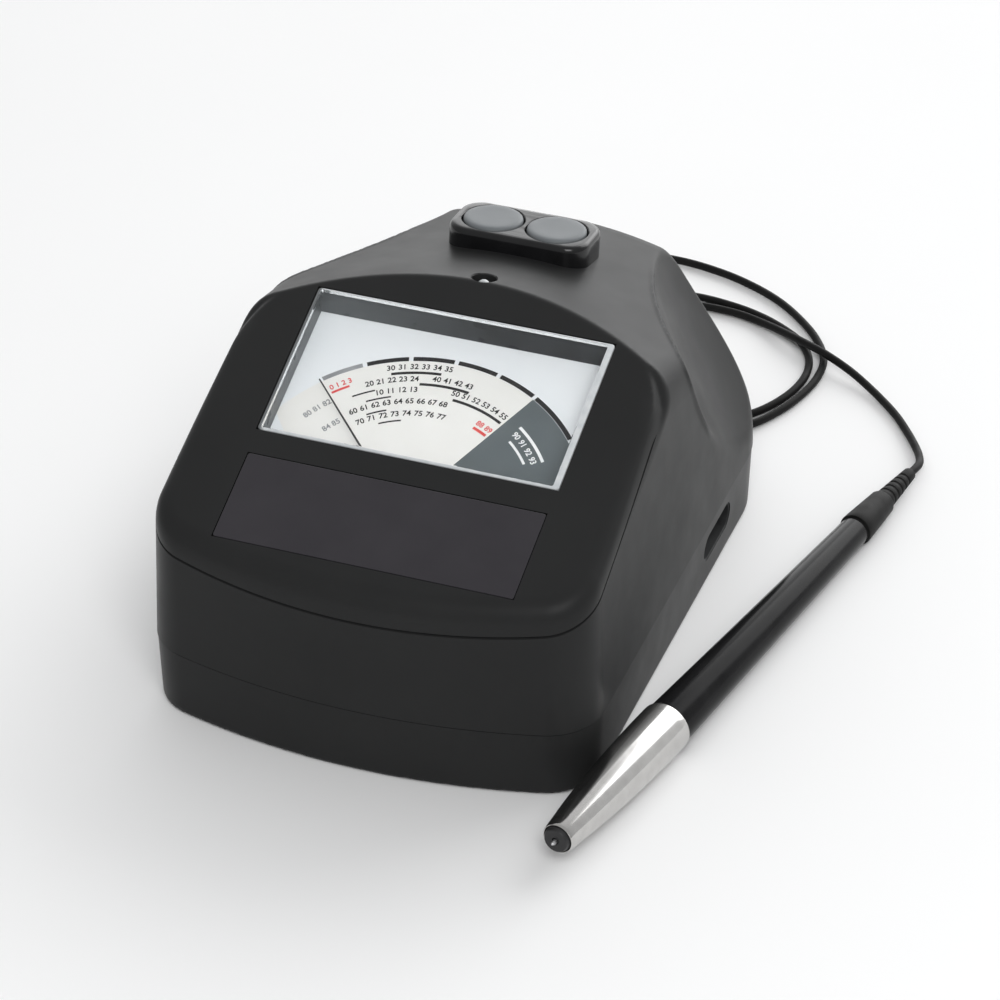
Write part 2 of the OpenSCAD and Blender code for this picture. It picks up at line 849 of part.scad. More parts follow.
module board_parts() {
    top = board_z + rest_gap + board_t + rest_gap;
    color(dark) translate([0, 0, top]) {
        translate([-board_w * 0.08, board_rear - chip_in, 0]) block(chip.x, chip.y, 0, chip.z);
        translate([board_w * 0.23, board_rear - relay_in, 0]) block(relay.x, relay.y, 0, relay.z);
        for (inset = capacitor_in) translate([-board_w * 0.31, board_rear - inset, 0])
            rod(capacitor_r, 0, capacitor_h);
        translate([0, board_rear - plug.y - 1, 0]) block(plug.x, plug.y, 0, plug.z);
        for (s = [-1, 1]) translate([s * board_w * 0.16, board_front + small_chip_in, 0])
            block(small_chip.x, small_chip.y, 0, small_chip.z);
    }
}

module board_screws() {
    top = board_z + rest_gap + board_t + rest_gap;
    color(steel) at_board_posts() translate([0, 0, top + board_head_h]) mirror([0, 0, 1])
        screw(board_screw_d, board_screw_d * 1.9, board_head_h, board_screw_len);
}

module battery_cells() {
    color(copper) for (i = [-1:1]) translate([0, bay_y + i * cell_pitch, cell_z]) rotate([0, 90, 0]) {
        rod(cell_d / 2, -cell_len / 2, cell_len / 2 - 1);
        rod(cell_d * 0.18, 0, cell_len / 2);
    }
}

module battery_contacts() {
    color(steel) for (i = [-1:1], s = [-1, 1]) translate([0, bay_y + i * cell_pitch, cell_z]) {
        translate([s * (bay_len / 2 - 0.25), 0, 0])
            block(0.5 - 2 * rest_gap, cell_d * 0.8, -cell_d * 0.4, cell_d * 0.4);
        rotate([0, s * 90, 0]) rod(cell_d * 0.2, cell_len / 2 + rest_gap, bay_len / 2 - 0.4);
    }
}

// Rocker switch in the right wall

module rocker_slot(t, x0, x1) {
    translate([0, rocker_y, rocker_z]) slot_x(rocker_len - 2 * t, rocker_h - 2 * t, x0, x1);
}

module rocker_axis() {
    translate([rocker_axis_x, rocker_y, rocker_z]) children();
}

module rocker_frame() {
    color(black) difference() {
        rocker_slot(rest_gap, rocker_back, rocker_face - 0.4);
        rocker_slot(rocker_wall, rocker_back - 1, half_w + 1);
        rocker_axis() rod(rocker_pin_r + rest_gap, -rocker_h / 2 + 0.5, rocker_h / 2 - 0.5);
    }
}

module rocker_pin() {
    color(steel) rocker_axis() rod(rocker_pin_r, -rocker_h / 2 + 0.6, rocker_h / 2 - 0.6);
}

// Drawn at rest, one end pressed in: a shallow vee that swings about the pin
module rocker() {
    len = rocker_len - 2 * rocker_wall - 2 * run_gap - 0.8;
    h = rocker_h - 2 * rocker_wall - 2 * run_gap;
    front = rocker_face - rocker_axis_x - 0.9;
    end = front - 0.1 - len * 0.06;
    back = -1.2;
    color(dark) rocker_axis() rotate([0, 0, -rocker_swing / 2]) difference() {
        intersection() {
            slot_x(len, h, -5, 5);
            translate([0, 0, -h]) linear_extrude(2 * h)
                polygon([[front, 0], [end, len / 2], [back, len / 2], [back - 0.4, 0],
                         [back, -len / 2], [end, -len / 2]]);
        }
        rod(rocker_pin_r + seat_gap, -h, h);
    }
}

module switch_body() {
    depth = 7;
    lug_reach = 3;
    translate([rocker_back - rest_gap - depth, rocker_y, rocker_z]) {
        color(dark) translate([depth / 2, 0, 0])
            block(depth, rocker_len - 1, -rocker_h / 2 + 0.2, rocker_h / 2 - 0.2);
        color(brass) for (s = [-1, 0, 1]) translate([-lug_reach / 2, 5 * s, 0])
            block(lug_reach + 1, 2, -0.4, 0.4);
    }
}

// Cord

module cord_gland() {
    color(black) translate([0, half_len - seam_step, gland_z]) rotate([-90, 0, 0]) difference() {
        union() {
            rod(gland_r, gland_seat - 2, 0.5);
            rod(gland_flange_r, rest_gap, 2.2);
            translate([0, 0, 2]) cylinder(r1 = gland_r, r2 = relief_end_r, h = gland_out - 2);
            rod(gland_flange_r, gland_seat - 2, gland_seat);
        }
        rod(cord_d / 2 + rest_gap, -wall - 5, gland_out + 1);
        for (i = [0:2]) ring(gland_flange_r, gland_r - 0.7 - i * 0.25, 3.6 + i * 2, 4.4 + i * 2);
    }
}

// A smooth curve through the route's points
function route_at(p, i) =
    let (last = len(p) - 1)
    i < 0 ? 2 * p[0] - p[1] : i > last ? 2 * p[last] - p[last - 1] : p[i];
function curve(p, i, t) =
    let (a = route_at(p, i - 1), b = route_at(p, i), c = route_at(p, i + 1), d = route_at(p, i + 2))
    0.5 * (2 * b + (c - a) * t + (2 * a - 5 * b + 4 * c - d) * t * t + (3 * b - a - 3 * c + d) * t * t * t);
function curve_points(p, steps) =
    concat([for (i = [0:len(p) - 2], s = [0:steps - 1]) curve(p, i, s / steps)], [p[len(p) - 1]]);
function unit(v) = v / norm(v);
function tangent(p, i) = unit(route_at(p, i + 1) - route_at(p, i - 1));
function level(t) = unit(cross([0, 0, 1], t));

// One closed tube along the points
module tube(p, d, sides) {
    n = len(p);
    rings = [for (i = [0:n - 1], k = [0:sides - 1])
        let (t = tangent(p, i), u = level(t), w = cross(t, u), a = 360 * k / sides)
        p[i] + d / 2 * (cos(a) * u + sin(a) * w)];
    walls = [for (i = [0:n - 2], k = [0:sides - 1], half = [0, 1])
        let (a = i * sides + k, b = i * sides + (k + 1) % sides)
        half == 0 ? [a, b, b + sides] : [a, b + sides, a + sides]];
    first = [for (k = [1:sides - 2]) [0, k + 1, k]];
    last = [for (k = [1:sides - 2]) (n - 1) * sides * [1, 1, 1] + [0, k, k + 1]];
    polyhedron(points = rings, faces = [for (f = concat(walls, first, last)) [f[0], f[2], f[1]]]);
}

cord_line = curve_points(cord_route, cord_steps);
cord_length = norm_sum(cord_line);
function norm_sum(p) = [for (i = [0:len(p) - 2]) norm(p[i + 1] - p[i])] * [for (i = [0:len(p) - 2]) 1];

// Least gap of the cord to itself, between points that lie well apart along it
function least_gap(p, apart) =
    min([for (i = [0:len(p) - 1], j = [i + apart:1:len(p) - 1]) norm(p[i] - p[j])]) - cord_d;
fine_line = curve_points(cord_route, 6);
echo(cord_length = cord_length, cord_gap = least_gap(fine_line, 24));

module cord() {
    color(black) tube(cord_line, cord_d, cord_sides);
}

// Probe

// Radius of the nose cone at a share of its length from the barrel: it falls away faster towards the tip
function nose_r(share) = probe_d / 2 - (probe_d - cone_tip_d) / 2 * pow(share, 2.2);

module probe_cone() {
    steps = 10;
    color(steel) probe_frame() along_probe(-cone_len) difference() {
        rotate_extrude() polygon(concat([[0, 0]],
            [for (i = [steps:-1:0]) [nose_r(i / steps), cone_len * (1 - i / steps)]], [[0, cone_len]]));
        rod(insert_r + rest_gap, -1, insert_len + rest_gap);
        rod(carrier_r + rest_gap, insert_len - 0.1, cone_len + 1);
        translate([0, 0, cone_len - spigot_len - rest_gap])
            cylinder(r = spigot_r + rest_gap, h = spigot_len + 1);
    }
}

module probe_insert() {
    color(black) probe_frame() along_probe(-cone_len) difference() {
        union() {
            rod(insert_r, 0, insert_len);
            translate([0, 0, -insert_out]) cylinder(r1 = insert_r - 0.4, r2 = insert_r, h = insert_out);
        }
        rod(tip_d / 2 + seat_gap, -4, insert_len + 1);
    }
}

module probe_tip() {
    color(copper) probe_frame() along_probe(-cone_len) {
        rod(tip_d / 2, -tip_out + tip_point, tip_rod_in);
        rod(collar_r, insert_len + rest_gap, insert_len + 2);
        translate([0, 0, -tip_out]) cylinder(r1 = tip_d / 4, r2 = tip_d / 2, h = tip_point);
    }
}

// Loose return spring behind the tip's collar, drawn as its sleeve
module tip_spring() {
    color(steel) probe_frame() along_probe(-cone_len)
        ring(collar_r, tip_d / 2 + seat_gap, insert_len + 2 + tip_travel + 0.1, 16 - rest_gap);
}

module tip_carrier() {
    color(brass) probe_frame() along_probe(carrier_low) difference() {
        rod(carrier_r, 0, cone_len - 16 - spigot_len - 2);
        rod(tip_d / 2 + seat_gap, -1, 9);
    }
}

module probe_barrel() {
    color(black) probe_frame() along_probe(0) difference() {
        union() {
            translate([0, 0, rest_gap])
                cylinder(r1 = probe_d / 2 - 0.5, r2 = barrel_end_d / 2, h = barrel_len - rest_gap);
            rod(spigot_r, -spigot_len, 1);
        }
        rod(barrel_bore_r, -spigot_len - 1, barrel_len + 1);
    }
}

module probe_board() {
    color(board_green) probe_frame() along_probe(0)
        block(2 * barrel_bore_r - 1, 1.2, 2, barrel_len - 20);
    color(dark) probe_frame() along_probe(0) block(1.2, 2 * barrel_bore_r - 0.8, 4, barrel_len - 22);
}

module tail_sleeve() {
    color(dark) probe_frame() along_probe(barrel_len) difference() {
        union() {
            translate([0, 0, rest_gap])
                cylinder(r1 = sleeve_d / 2, r2 = relief_r + 0.55, h = sleeve_len - rest_gap);
            rod(barrel_bore_r - rest_gap, -6, 1);
        }
        rod(cord_d / 2 + seat_gap, -7, sleeve_len + 1);
    }
}

module probe_relief() {
    color(black) probe_frame() along_probe(barrel_len + sleeve_len) difference() {
        translate([0, 0, rest_gap]) cylinder(r1 = relief_r, r2 = relief_end_r, h = relief_len - rest_gap);
        rod(cord_d / 2 + seat_gap, -1, relief_len - 2);
        for (i = [0:3]) ring(relief_r + 1, relief_r - 0.5 - i * 0.2, 1.6 + i * 2.2, 2.4 + i * 2.2);
    }
}

upper_housing();
lower_housing();
battery_door();
foot_pads();
housing_screws();
label_plate();
meter_cover();
meter_case();
meter_screws();
dial_plate();
dial_screws();
magnet_ring();
magnet_core();
meter_bridge();
lower_jewel();
meter_terminals();
needle();
needle_shaft();
moving_coil();
hairspring();
key_block();
key_sheet();
left_key();
right_key();
key_board();
key_screws();
lamp_lens();
lamp_holder();
main_board();
board_parts();
board_screws();
battery_cells();
battery_contacts();
rocker_frame();
rocker_pin();
rocker();
switch_body();
cord_gland();
cord();
probe_cone();
probe_barrel();
probe_insert();
probe_tip();
tip_carrier();
tip_spring();
probe_board();
tail_sleeve();
probe_relief();
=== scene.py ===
"""Looks of the counter-top gemstone tester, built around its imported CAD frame.

Pieces are drawn in millimetres in the frames that the solids use, and turned into metres as they are made:
+Z up, the counter at z = 0, the front towards -Y, the origin under the middle of the base.
"""

import math

import bmesh
import bpy
import numpy as np
from mathutils import Matrix, Vector


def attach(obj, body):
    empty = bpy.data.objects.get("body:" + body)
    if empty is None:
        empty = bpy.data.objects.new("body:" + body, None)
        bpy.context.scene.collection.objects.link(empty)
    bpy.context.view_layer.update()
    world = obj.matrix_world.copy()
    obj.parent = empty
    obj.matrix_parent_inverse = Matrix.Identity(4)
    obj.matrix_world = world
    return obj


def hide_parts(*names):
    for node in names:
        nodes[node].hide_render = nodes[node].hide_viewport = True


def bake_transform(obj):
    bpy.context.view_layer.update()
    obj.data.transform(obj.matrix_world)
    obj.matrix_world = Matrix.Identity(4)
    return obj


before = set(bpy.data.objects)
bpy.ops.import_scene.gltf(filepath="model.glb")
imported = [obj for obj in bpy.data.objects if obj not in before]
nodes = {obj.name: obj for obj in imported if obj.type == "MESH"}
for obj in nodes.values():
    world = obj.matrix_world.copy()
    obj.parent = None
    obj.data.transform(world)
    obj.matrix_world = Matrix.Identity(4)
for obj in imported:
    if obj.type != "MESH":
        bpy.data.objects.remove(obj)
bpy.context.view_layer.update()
scene = bpy.context.scene
scene.view_settings.view_transform = "Standard"

MM = 0.001

# Housing
HALF_W = 51.5
HALF_LEN = 75.2
CREST_Y = 7.6
CREST_H = 78.8
FACE_TILT = 21
ROOF_SLOPE = 14
CROWN_R = 130
BOW_R = 142
FRONT_BOW_R = 160
FRONT_CORNER_R = 12
REAR_CORNER_R = 24
REAR_LEAN = 13
REAR_EDGE_Y = 65.5
REAR_EDGE_H = 64.36
SCOOP_R = 121.6
SCOOP_POINT = (174.7, 55.2, 56.1)
SCOOP_AXIS = (-0.67, 0.417, 1)
WALL = 2.4
SEAM_H = 17
SEAM_STEP = 0.15
SEAM_LINE = 0.25
TUB_LEAN = 0.6
# How far the walls flare out, per millimetre below the level where they have the nominal width
FLARE = 0.0328
FLARE_FROM = 60
REBATE = 1
POST_X = 45.15
POST_YS = (-58.2, 56.7)
FOOT_X = 33.3
FOOT_Y = 60.7
FOOT_R = 6
DOOR_Y = -8.5
DOOR_SIZE = (53.7, 40)

# Meter and label, in the plane of the face
WINDOW_W = 71.2
WINDOW_H = 41
WINDOW_V = -30.6
LABEL_W = 70.2
LABEL_H = 23
LABEL_V = -69.3
LABEL_T = 0.8
COVER_T = 1.6
DIAL_DEPTH = 7.6
PIVOT_V = -60.1
SCALE_R = 41.65

# Keys and lamp
KEY_Y = 37.8
KEY_TOP_H = 76.6
KEY_TILT = 7
KEY_X = 7.8
KEY_R = 7
KEY_BLOCK_W = 34.2
KEY_BLOCK_D = 17.4
KEY_CORNER_R = 5.5
LAMP_V = 2.8
LAMP_R = 2.9

# Switch, gland and cord
ROCKER_Y = 25.5
ROCKER_Z = 10.2
ROCKER_LEN = 20
ROCKER_H = 7
GLAND_Y = 75.4
GLAND_Z = 9
CORD_D = 2

# Probe: the place of the junction of cone and barrel, heading and droop in degrees
PROBE_AT = (63.13, -44.83, 6.2)
PROBE_HEADING = 11
PROBE_DROOP = 1.285
PROBE_R = 6.15
CONE_LEN = 48
CONE_TIP_R = 3.7
BARREL_R = 5.65
BARREL_END_R = 3.65
BARREL_LEN = 91.4
SLEEVE_LEN = 15
RELIEF_LEN = 14.5

# Route of the cord, as in the solids
CORD_ROUTE = [
    (0, 87.5, 9), (0, 90, 9), (-1, 94.6, 8.8), (-6, 101, 7.8), (-14, 107.5, 6.2), (-24, 113.5, 4.2),
    (-33, 122, 1.8), (-33.5, 135, 1.1), (-24, 146.5, 1.1), (-11, 151.2, 1.1), (2.5, 152, 1.1),
    (13.6, 150.2, 1.1), (23, 146.9, 1.1), (32, 142, 1.1), (39.6, 135.7, 1.1), (46.5, 127.9, 1.1),
    (51.1, 119.3, 1.1), (52, 110.3, 1.1), (50.4, 101, 1.1), (47.3, 92.5, 1.1), (42.6, 84.8, 1.1),
    (35.4, 79.6, 1.1), (27, 78, 1.1), (19, 78.2, 1.1), (4, 80, 1.1), (-11, 86.6, 1.1), (-21, 99, 1.1),
    (-22.5, 113, 1.1), (-15.5, 126.5, 1.1), (-3, 134.2, 1.1), (11, 136.6, 1.1), (22.2, 135.5, 1.1),
    (31, 132.8, 1.1), (38.4, 128.8, 1.1), (43.7, 124.5, 1.1), (47.6, 118, 1.1), (49, 110.5, 1.1),
    (48, 102.6, 1.1), (44.9, 94.6, 1.1), (40.3, 88.2, 1.1), (33.4, 84.2, 1.1), (26, 82.4, 1.1),
    (18, 82.2, 1.1), (5, 85, 1.1), (-6, 93, 1.1), (-12, 106, 1.1), (-10, 118, 1.1), (-1, 127.8, 1.1),
    (11.5, 132.4, 1.1), (23, 132.5, 1.2), (32, 129.6, 1.6), (39.8, 124.9, 2.8), (45.7, 121.2, 3.5),
    (51.7, 118.2, 3.5), (59.5, 114.3, 2.4), (66.8, 109.1, 1.4), (74.6, 101.5, 1.1), (80.4, 93.7, 1.2),
    (84.2, 87.4, 1.6), (86.1, 83.2, 2.1), (86.9, 79.9, 2.7), (86.8, 76.9, 3.2), (86.2, 73.95, 3.47),
]


# Frames of reference

def turn(degrees, axis):
    return Matrix.Rotation(math.radians(degrees), 4, axis)


def at(x, y, z):
    return Matrix.Translation(Vector((x, y, z)))


HERE = Matrix.Identity(4)
FACE = at(0, CREST_Y, CREST_H) @ turn(FACE_TILT, "X")
ROOF = at(0, CREST_Y, CREST_H) @ turn(-ROOF_SLOPE, "X")
KEYS = at(0, KEY_Y, KEY_TOP_H) @ turn(-KEY_TILT, "X")
DIAL = FACE @ at(0, PIVOT_V, -DIAL_DEPTH)
# Z of these two runs along the probe from nose to tail, and out of the gland
PROBE = at(*PROBE_AT) @ turn(-PROBE_HEADING, "Z") @ turn(-PROBE_DROOP - 90, "X")
GLAND = at(0, GLAND_Y, GLAND_Z) @ turn(-90, "X")


# Camera

CAMERA_AT = (0.29953, -0.80544, 0.61753)
CAMERA_LOOK = (-0.28037, 0.77328, -0.56871)
CAMERA_LENS = 162
CAMERA_SENSOR = 36

camera_data = bpy.data.cameras.new("camera")
camera_data.lens = CAMERA_LENS
camera_data.sensor_width = CAMERA_SENSOR
camera_data.clip_end = 20
camera = bpy.data.objects.new("camera", camera_data)
scene.collection.objects.link(camera)
camera.location = CAMERA_AT
camera.rotation_euler = Vector(CAMERA_LOOK).to_track_quat("-Z", "Y").to_euler()
scene.camera = camera


# Materials

# The noise nodes' values lie mostly between these
NOISE_RANGE = (0.3, 0.7)
PATCH_DETAIL = 4.0
GRAIN_DETAIL = 2.0
EVENLY = (1, 1, 1)


def set_inputs(tree, node, values):
    """Gives a node's inputs their values, or links them to other nodes' outputs."""
    for name, value in values.items():
        if isinstance(value, bpy.types.NodeSocket):
            tree.links.new(value, node.inputs[name])
        else:
            node.inputs[name].default_value = value


def add_node(tree, kind, values=None):
    made = tree.nodes.new("ShaderNode" + kind)
    if kind == "Mix":
        made.data_type = "RGBA"
    set_inputs(tree, made, values or {})
    return made


class Finish:
    """A Principled material with grain, mottling and fading in the object's own coordinates."""

    def __init__(self, name, colour, roughness, metallic=0.0, specular=0.5):
        self.name = name
        self.material = bpy.data.materials.new(name)
        self.material.use_nodes = True
        self.tree = self.material.node_tree
        self.shader = self.tree.nodes["Principled BSDF"]
        self.colour = tuple(colour) + (1,)
        self.roughness = roughness
        self.set({"Base Color": self.colour, "Roughness": roughness, "Metallic": metallic,
                  "Specular IOR Level": specular})
        self.where = self.node("TexCoord").outputs["Object"]

    def node(self, kind, values=None):
        return add_node(self.tree, kind, values)

    def set(self, values):
        set_inputs(self.tree, self.shader, values)

    def noise(self, size, detail, stretch=EVENLY):
        """Noise with features of about size millimetres, drawn out along each axis by stretch."""
        scaled = self.node("Mapping", {"Scale": [1 / s for s in stretch], "Vector": self.where})
        return self.node("TexNoise", {"Scale": 1 / (size * MM), "Detail": detail,
                                      "Vector": scaled.outputs["Vector"]}).outputs["Fac"]

    def span(self, value, start, end, low=0, high=1):
        """A value, mapped from between start and end to between low and high."""
        return self.node("MapRange", {"From Min": start, "From Max": end, "To Min": low, "To Max": high,
                                      "Value": value}).outputs["Result"]

    def mixed(self, share, other):
        """Mixes another colour into the base colour made so far."""
        base = self.shader.inputs["Base Color"]
        so_far = base.links[0].from_socket if base.is_linked else self.colour
        mix = self.node("Mix", {"A": so_far, "B": tuple(other) + (1,), "Factor": share})
        self.set({"Base Color": mix.outputs["Result"]})
        return self

    def grain(self, size, height, stretch=EVENLY):
        """Fine bumps of about size millimetres."""
        bumps = self.node("Bump", {"Strength": 1.0, "Distance": height * MM,
                                   "Height": self.noise(size, GRAIN_DETAIL, stretch)})
        self.set({"Normal": bumps.outputs["Normal"]})
        return self

    def uneven(self, size, amount, stretch=EVENLY):
        """Roughness that varies by amount over patches of about size millimetres."""
        patches = self.noise(size, PATCH_DETAIL, stretch)
        varied = self.span(patches, *NOISE_RANGE, self.roughness - amount, self.roughness + amount)
        self.set({"Roughness": varied})
        return self

    def mottled(self, size, other):
        """Colour that drifts to another over patches of about size millimetres."""
        return self.mixed(self.span(self.noise(size, PATCH_DETAIL), *NOISE_RANGE), other)

    def faded(self, other, start, end):
        """Colour that fades to another between two places along X, in millimetres."""
        apart = self.node("SeparateXYZ", {"Vector": self.where})
        return self.mixed(self.span(apart.outputs["X"], start * MM, end * MM), other)


def clear_finish(name):
    """Clear polished plastic that lets light through to what lies under it."""
    finish = Finish(name, (0.985, 0.99, 0.99), 0.01).uneven(6, 0.008)
    finish.set({"Transmission Weight": 1.0, "IOR": 1.3})
    shadow = finish.node("LightPath").outputs["Is Shadow Ray"]
    open_way = finish.node("BsdfTransparent").outputs["BSDF"]
    mix = finish.node("MixShader", {0: shadow, 1: finish.shader.outputs["BSDF"], 2: open_way})
    set_inputs(finish.tree, finish.tree.nodes["Material Output"], {"Surface": mix.outputs["Shader"]})
    return finish


finishes = [
    Finish("housing_plastic", (0.021, 0.0213, 0.0216), 0.36, specular=0.09)
    .mottled(25, (0.0235, 0.0238, 0.024)).uneven(9, 0.03).grain(0.35, 0.012),
    Finish("label_film", (0.034, 0.0315, 0.0365), 0.36, specular=0.2)
    .mottled(12, (0.039, 0.0362, 0.0415)).uneven(5, 0.03).grain(0.25, 0.006, stretch=(4, 1, 1)),
    Finish("dark_plastic", (0.012, 0.012, 0.013), 0.45)
    .mottled(8, (0.016, 0.016, 0.017)).uneven(4, 0.05).grain(0.3, 0.01),
    Finish("rubber_black", (0.009, 0.009, 0.009), 0.5, specular=0.1)
    .mottled(5, (0.013, 0.0127, 0.0125)).uneven(3, 0.06).grain(0.4, 0.02),
    Finish("dial_white", (0.74, 0.775, 0.80), 0.4)
    .mottled(30, (0.78, 0.805, 0.825)).uneven(10, 0.04).grain(0.3, 0.002),
    Finish("dial_warm", (0.76, 0.757, 0.73), 0.45)
    .mottled(14, (0.80, 0.797, 0.775)).uneven(8, 0.04).grain(0.3, 0.002),
    Finish("print_black", (0.006, 0.006, 0.0065), 0.5, specular=0.2)
    .mottled(3, (0.02, 0.02, 0.02)).uneven(2, 0.05).grain(0.2, 0.002),
    Finish("print_grey", (0.22, 0.23, 0.24), 0.5)
    .mottled(3, (0.30, 0.31, 0.32)).uneven(2, 0.05).grain(0.2, 0.002),
    Finish("print_slate", (0.085, 0.105, 0.112), 0.42)
    .mottled(6, (0.10, 0.12, 0.127)).uneven(4, 0.04).grain(0.2, 0.002),
    Finish("print_white", (0.80, 0.82, 0.83), 0.5)
    .mottled(3, (0.86, 0.87, 0.87)).uneven(2, 0.05).grain(0.2, 0.002),
    Finish("print_red", (0.62, 0.035, 0.04), 0.5)
    .mottled(2, (0.70, 0.08, 0.07)).uneven(2, 0.05).grain(0.2, 0.002),
    Finish("steel", (0.55, 0.55, 0.56), 0.3, 1.0)
    .mottled(3, (0.48, 0.48, 0.49)).uneven(1.5, 0.06).grain(0.2, 0.004, stretch=(6, 1, 1)),
    Finish("brass", (0.62, 0.44, 0.17), 0.28, 1.0)
    .mottled(3, (0.54, 0.37, 0.14)).uneven(1.5, 0.06).grain(0.2, 0.004),
    Finish("copper", (0.58, 0.24, 0.12), 0.3, 1.0)
    .mottled(1, (0.5, 0.2, 0.1)).uneven(1, 0.06).grain(0.15, 0.01, stretch=(1, 1, 6)),
    Finish("needle_black", (0.014, 0.014, 0.015), 0.4)
    .mottled(4, (0.02, 0.02, 0.02)).uneven(3, 0.05).grain(0.3, 0.003),
    Finish("key_grey", (0.15, 0.162, 0.17), 0.42, specular=0.2)
    .mottled(6, (0.17, 0.182, 0.19)).uneven(3, 0.05).grain(0.3, 0.008),
    Finish("board_green", (0.012, 0.085, 0.04), 0.35)
    .mottled(5, (0.02, 0.11, 0.055)).uneven(3, 0.06).grain(0.6, 0.02),
    Finish("cell_jacket", (0.34, 0.14, 0.06), 0.3)
    .mottled(12, (0.30, 0.12, 0.05)).uneven(6, 0.05).grain(0.5, 0.004),
    Finish("chrome", (0.52, 0.512, 0.50), 0.14, 1.0)
    .mottled(3, (0.58, 0.572, 0.56)).uneven(2, 0.025, stretch=(1, 5, 1)).grain(0.8, 0.002),
    Finish("gloss_black", (0.006, 0.006, 0.0065), 0.16, specular=0.4)
    .mottled(8, (0.012, 0.012, 0.013)).uneven(4, 0.03).grain(0.9, 0.003),
    clear_finish("clear_window"),
    # Painted highlight: the cover's clear edges drawn light grey, with painted shade along their left side
    Finish("edge_painted_highlight", (0.56, 0.59, 0.61), 0.18)
    .mottled(2.5, (0.68, 0.70, 0.71)).faded((0.14, 0.148, 0.153), -34, -35).uneven(3, 0.06).grain(0.5, 0.01),
    Finish("bezel_grey", (0.028, 0.029, 0.03), 0.42, specular=0.2)
    .mottled(4, (0.036, 0.037, 0.038)).uneven(2, 0.05).grain(0.3, 0.008),
    Finish("lamp_milk", (0.42, 0.44, 0.45), 0.15)
    .mottled(1.5, (0.52, 0.54, 0.55)).uneven(1, 0.04).grain(0.3, 0.003),
    Finish("barrel_black", (0.005, 0.005, 0.0055), 0.2, specular=0.11)
    .mottled(8, (0.009, 0.009, 0.0095)).uneven(4, 0.03).grain(0.9, 0.003),
    # Painted shade for the walls around the dial, fading lighter towards the left as a painted reflection
    Finish("shroud_painted_shade_and_reflection", (0.008, 0.009, 0.0105), 0.3, specular=0.3)
    .mottled(14, (0.03, 0.034, 0.038)).faded((0.11, 0.12, 0.125), 10, -45).uneven(5, 0.04).grain(0.5, 0.003),
]
FINISHES = {finish.name: finish for finish in finishes}

NODE_FINISHES = {
    "housing_plastic": ["battery_door"],
    "rubber_black": ["foot_pads", "lamp_holder"],
    "steel": ["housing_screws", "meter_screws", "dial_screws", "magnet_ring", "magnet_core",
              "needle_shaft", "key_screws", "board_screws", "battery_contacts", "rocker_pin", "tip_spring"],
    "dark_plastic": ["meter_case", "board_parts", "switch_body"],
    "dial_white": ["dial_plate"],
    "brass": ["meter_bridge", "lower_jewel", "meter_terminals", "tip_carrier"],
    "copper": ["moving_coil", "hairspring"],
    "board_green": ["key_board", "main_board", "probe_board"],
    "lamp_milk": ["lamp_lens"],
    "cell_jacket": ["battery_cells"],
}
for finish_name, node_names in NODE_FINISHES.items():
    for node_name in node_names:
        nodes[node_name].data.materials.clear()
        nodes[node_name].data.materials.append(FINISHES[finish_name].material)


# Making pieces

def placed(points, place):
    """Millimetre points of a local frame as metres in the object's frame."""
    matrix = np.array(place)
    return (np.asarray(points, float) @ matrix[:3, :3].T + matrix[:3, 3]) * MM


def new_mesh(name, points, faces, place=HERE):
    mesh = bpy.data.meshes.new(name)
    mesh.from_pydata(placed(points, place).tolist(), [], faces)
    work = bmesh.new()
    work.from_mesh(mesh)
    bmesh.ops.recalc_face_normals(work, faces=work.faces)
    work.to_mesh(mesh)
    work.free()
    return mesh


def new_object(name, mesh):
    made = bpy.data.objects.new(name, mesh)
    scene.collection.objects.link(made)
    return made


# Edges sharper than this many degrees stay sharp in shading
SHARP_ANGLE = 35
# For broad flat faces, whose shading would otherwise lean towards their rims
FLAT_ANGLE = 4


def smoothed(mesh, angle=SHARP_ANGLE):
    mesh.polygons.foreach_set("use_smooth", [True] * len(mesh.polygons))
    mesh.set_sharp_from_angle(angle=math.radians(angle))


def fitted(made, finish, body, slot, *replaced):
    """Gives a piece its finish and its body, and hides the solids that it stands for."""
    made.data.materials.clear()
    made.data.materials.append(FINISHES[finish].material)
    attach(made, body)
    if replaced:
        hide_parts(*replaced)
    return made


def piece(name, shape, place, finish, body, slot, *replaced, angle=SHARP_ANGLE):
    mesh = new_mesh(name, *shape, place)
    smoothed(mesh, angle)
    return fitted(new_object(name, mesh), finish, body, slot, *replaced)


def hoop(rings):
    """Closed skin through rings of equal count, the last joined to the first."""
    count = len(rings[0])
    points = np.concatenate(rings)
    faces = []
    for a in range(0, len(points), count):
        b = (a + count) % len(points)
        faces += [(a + i, a + (i + 1) % count, b + (i + 1) % count, b + i) for i in range(count)]
    return points, faces


def loft(rings):
    """Closed skin through rings of equal count, with flat ends."""
    points, faces = hoop(rings)
    count = len(rings[0])
    ends = [tuple(reversed(range(count))), tuple(range(len(points) - count, len(points)))]
    return points, faces[:-count] + ends


def circle(radius, height, sides):
    angles = np.arange(sides) * 2 * np.pi / sides
    return np.stack([radius * np.cos(angles), radius * np.sin(angles), np.full(sides, height)], 1)


LEAST_R = 0.02


def turned(profile, sides=64):
    """Solid of (radius, height) pairs turned about Z."""
    return loft([circle(max(r, LEAST_R), h, sides) for r, h in profile])


def turned_hollow(profile, sides):
    """Ring-shaped solid of a closed loop of (radius, height) pairs turned about Z."""
    return hoop([circle(r, h, sides) for r, h in profile])


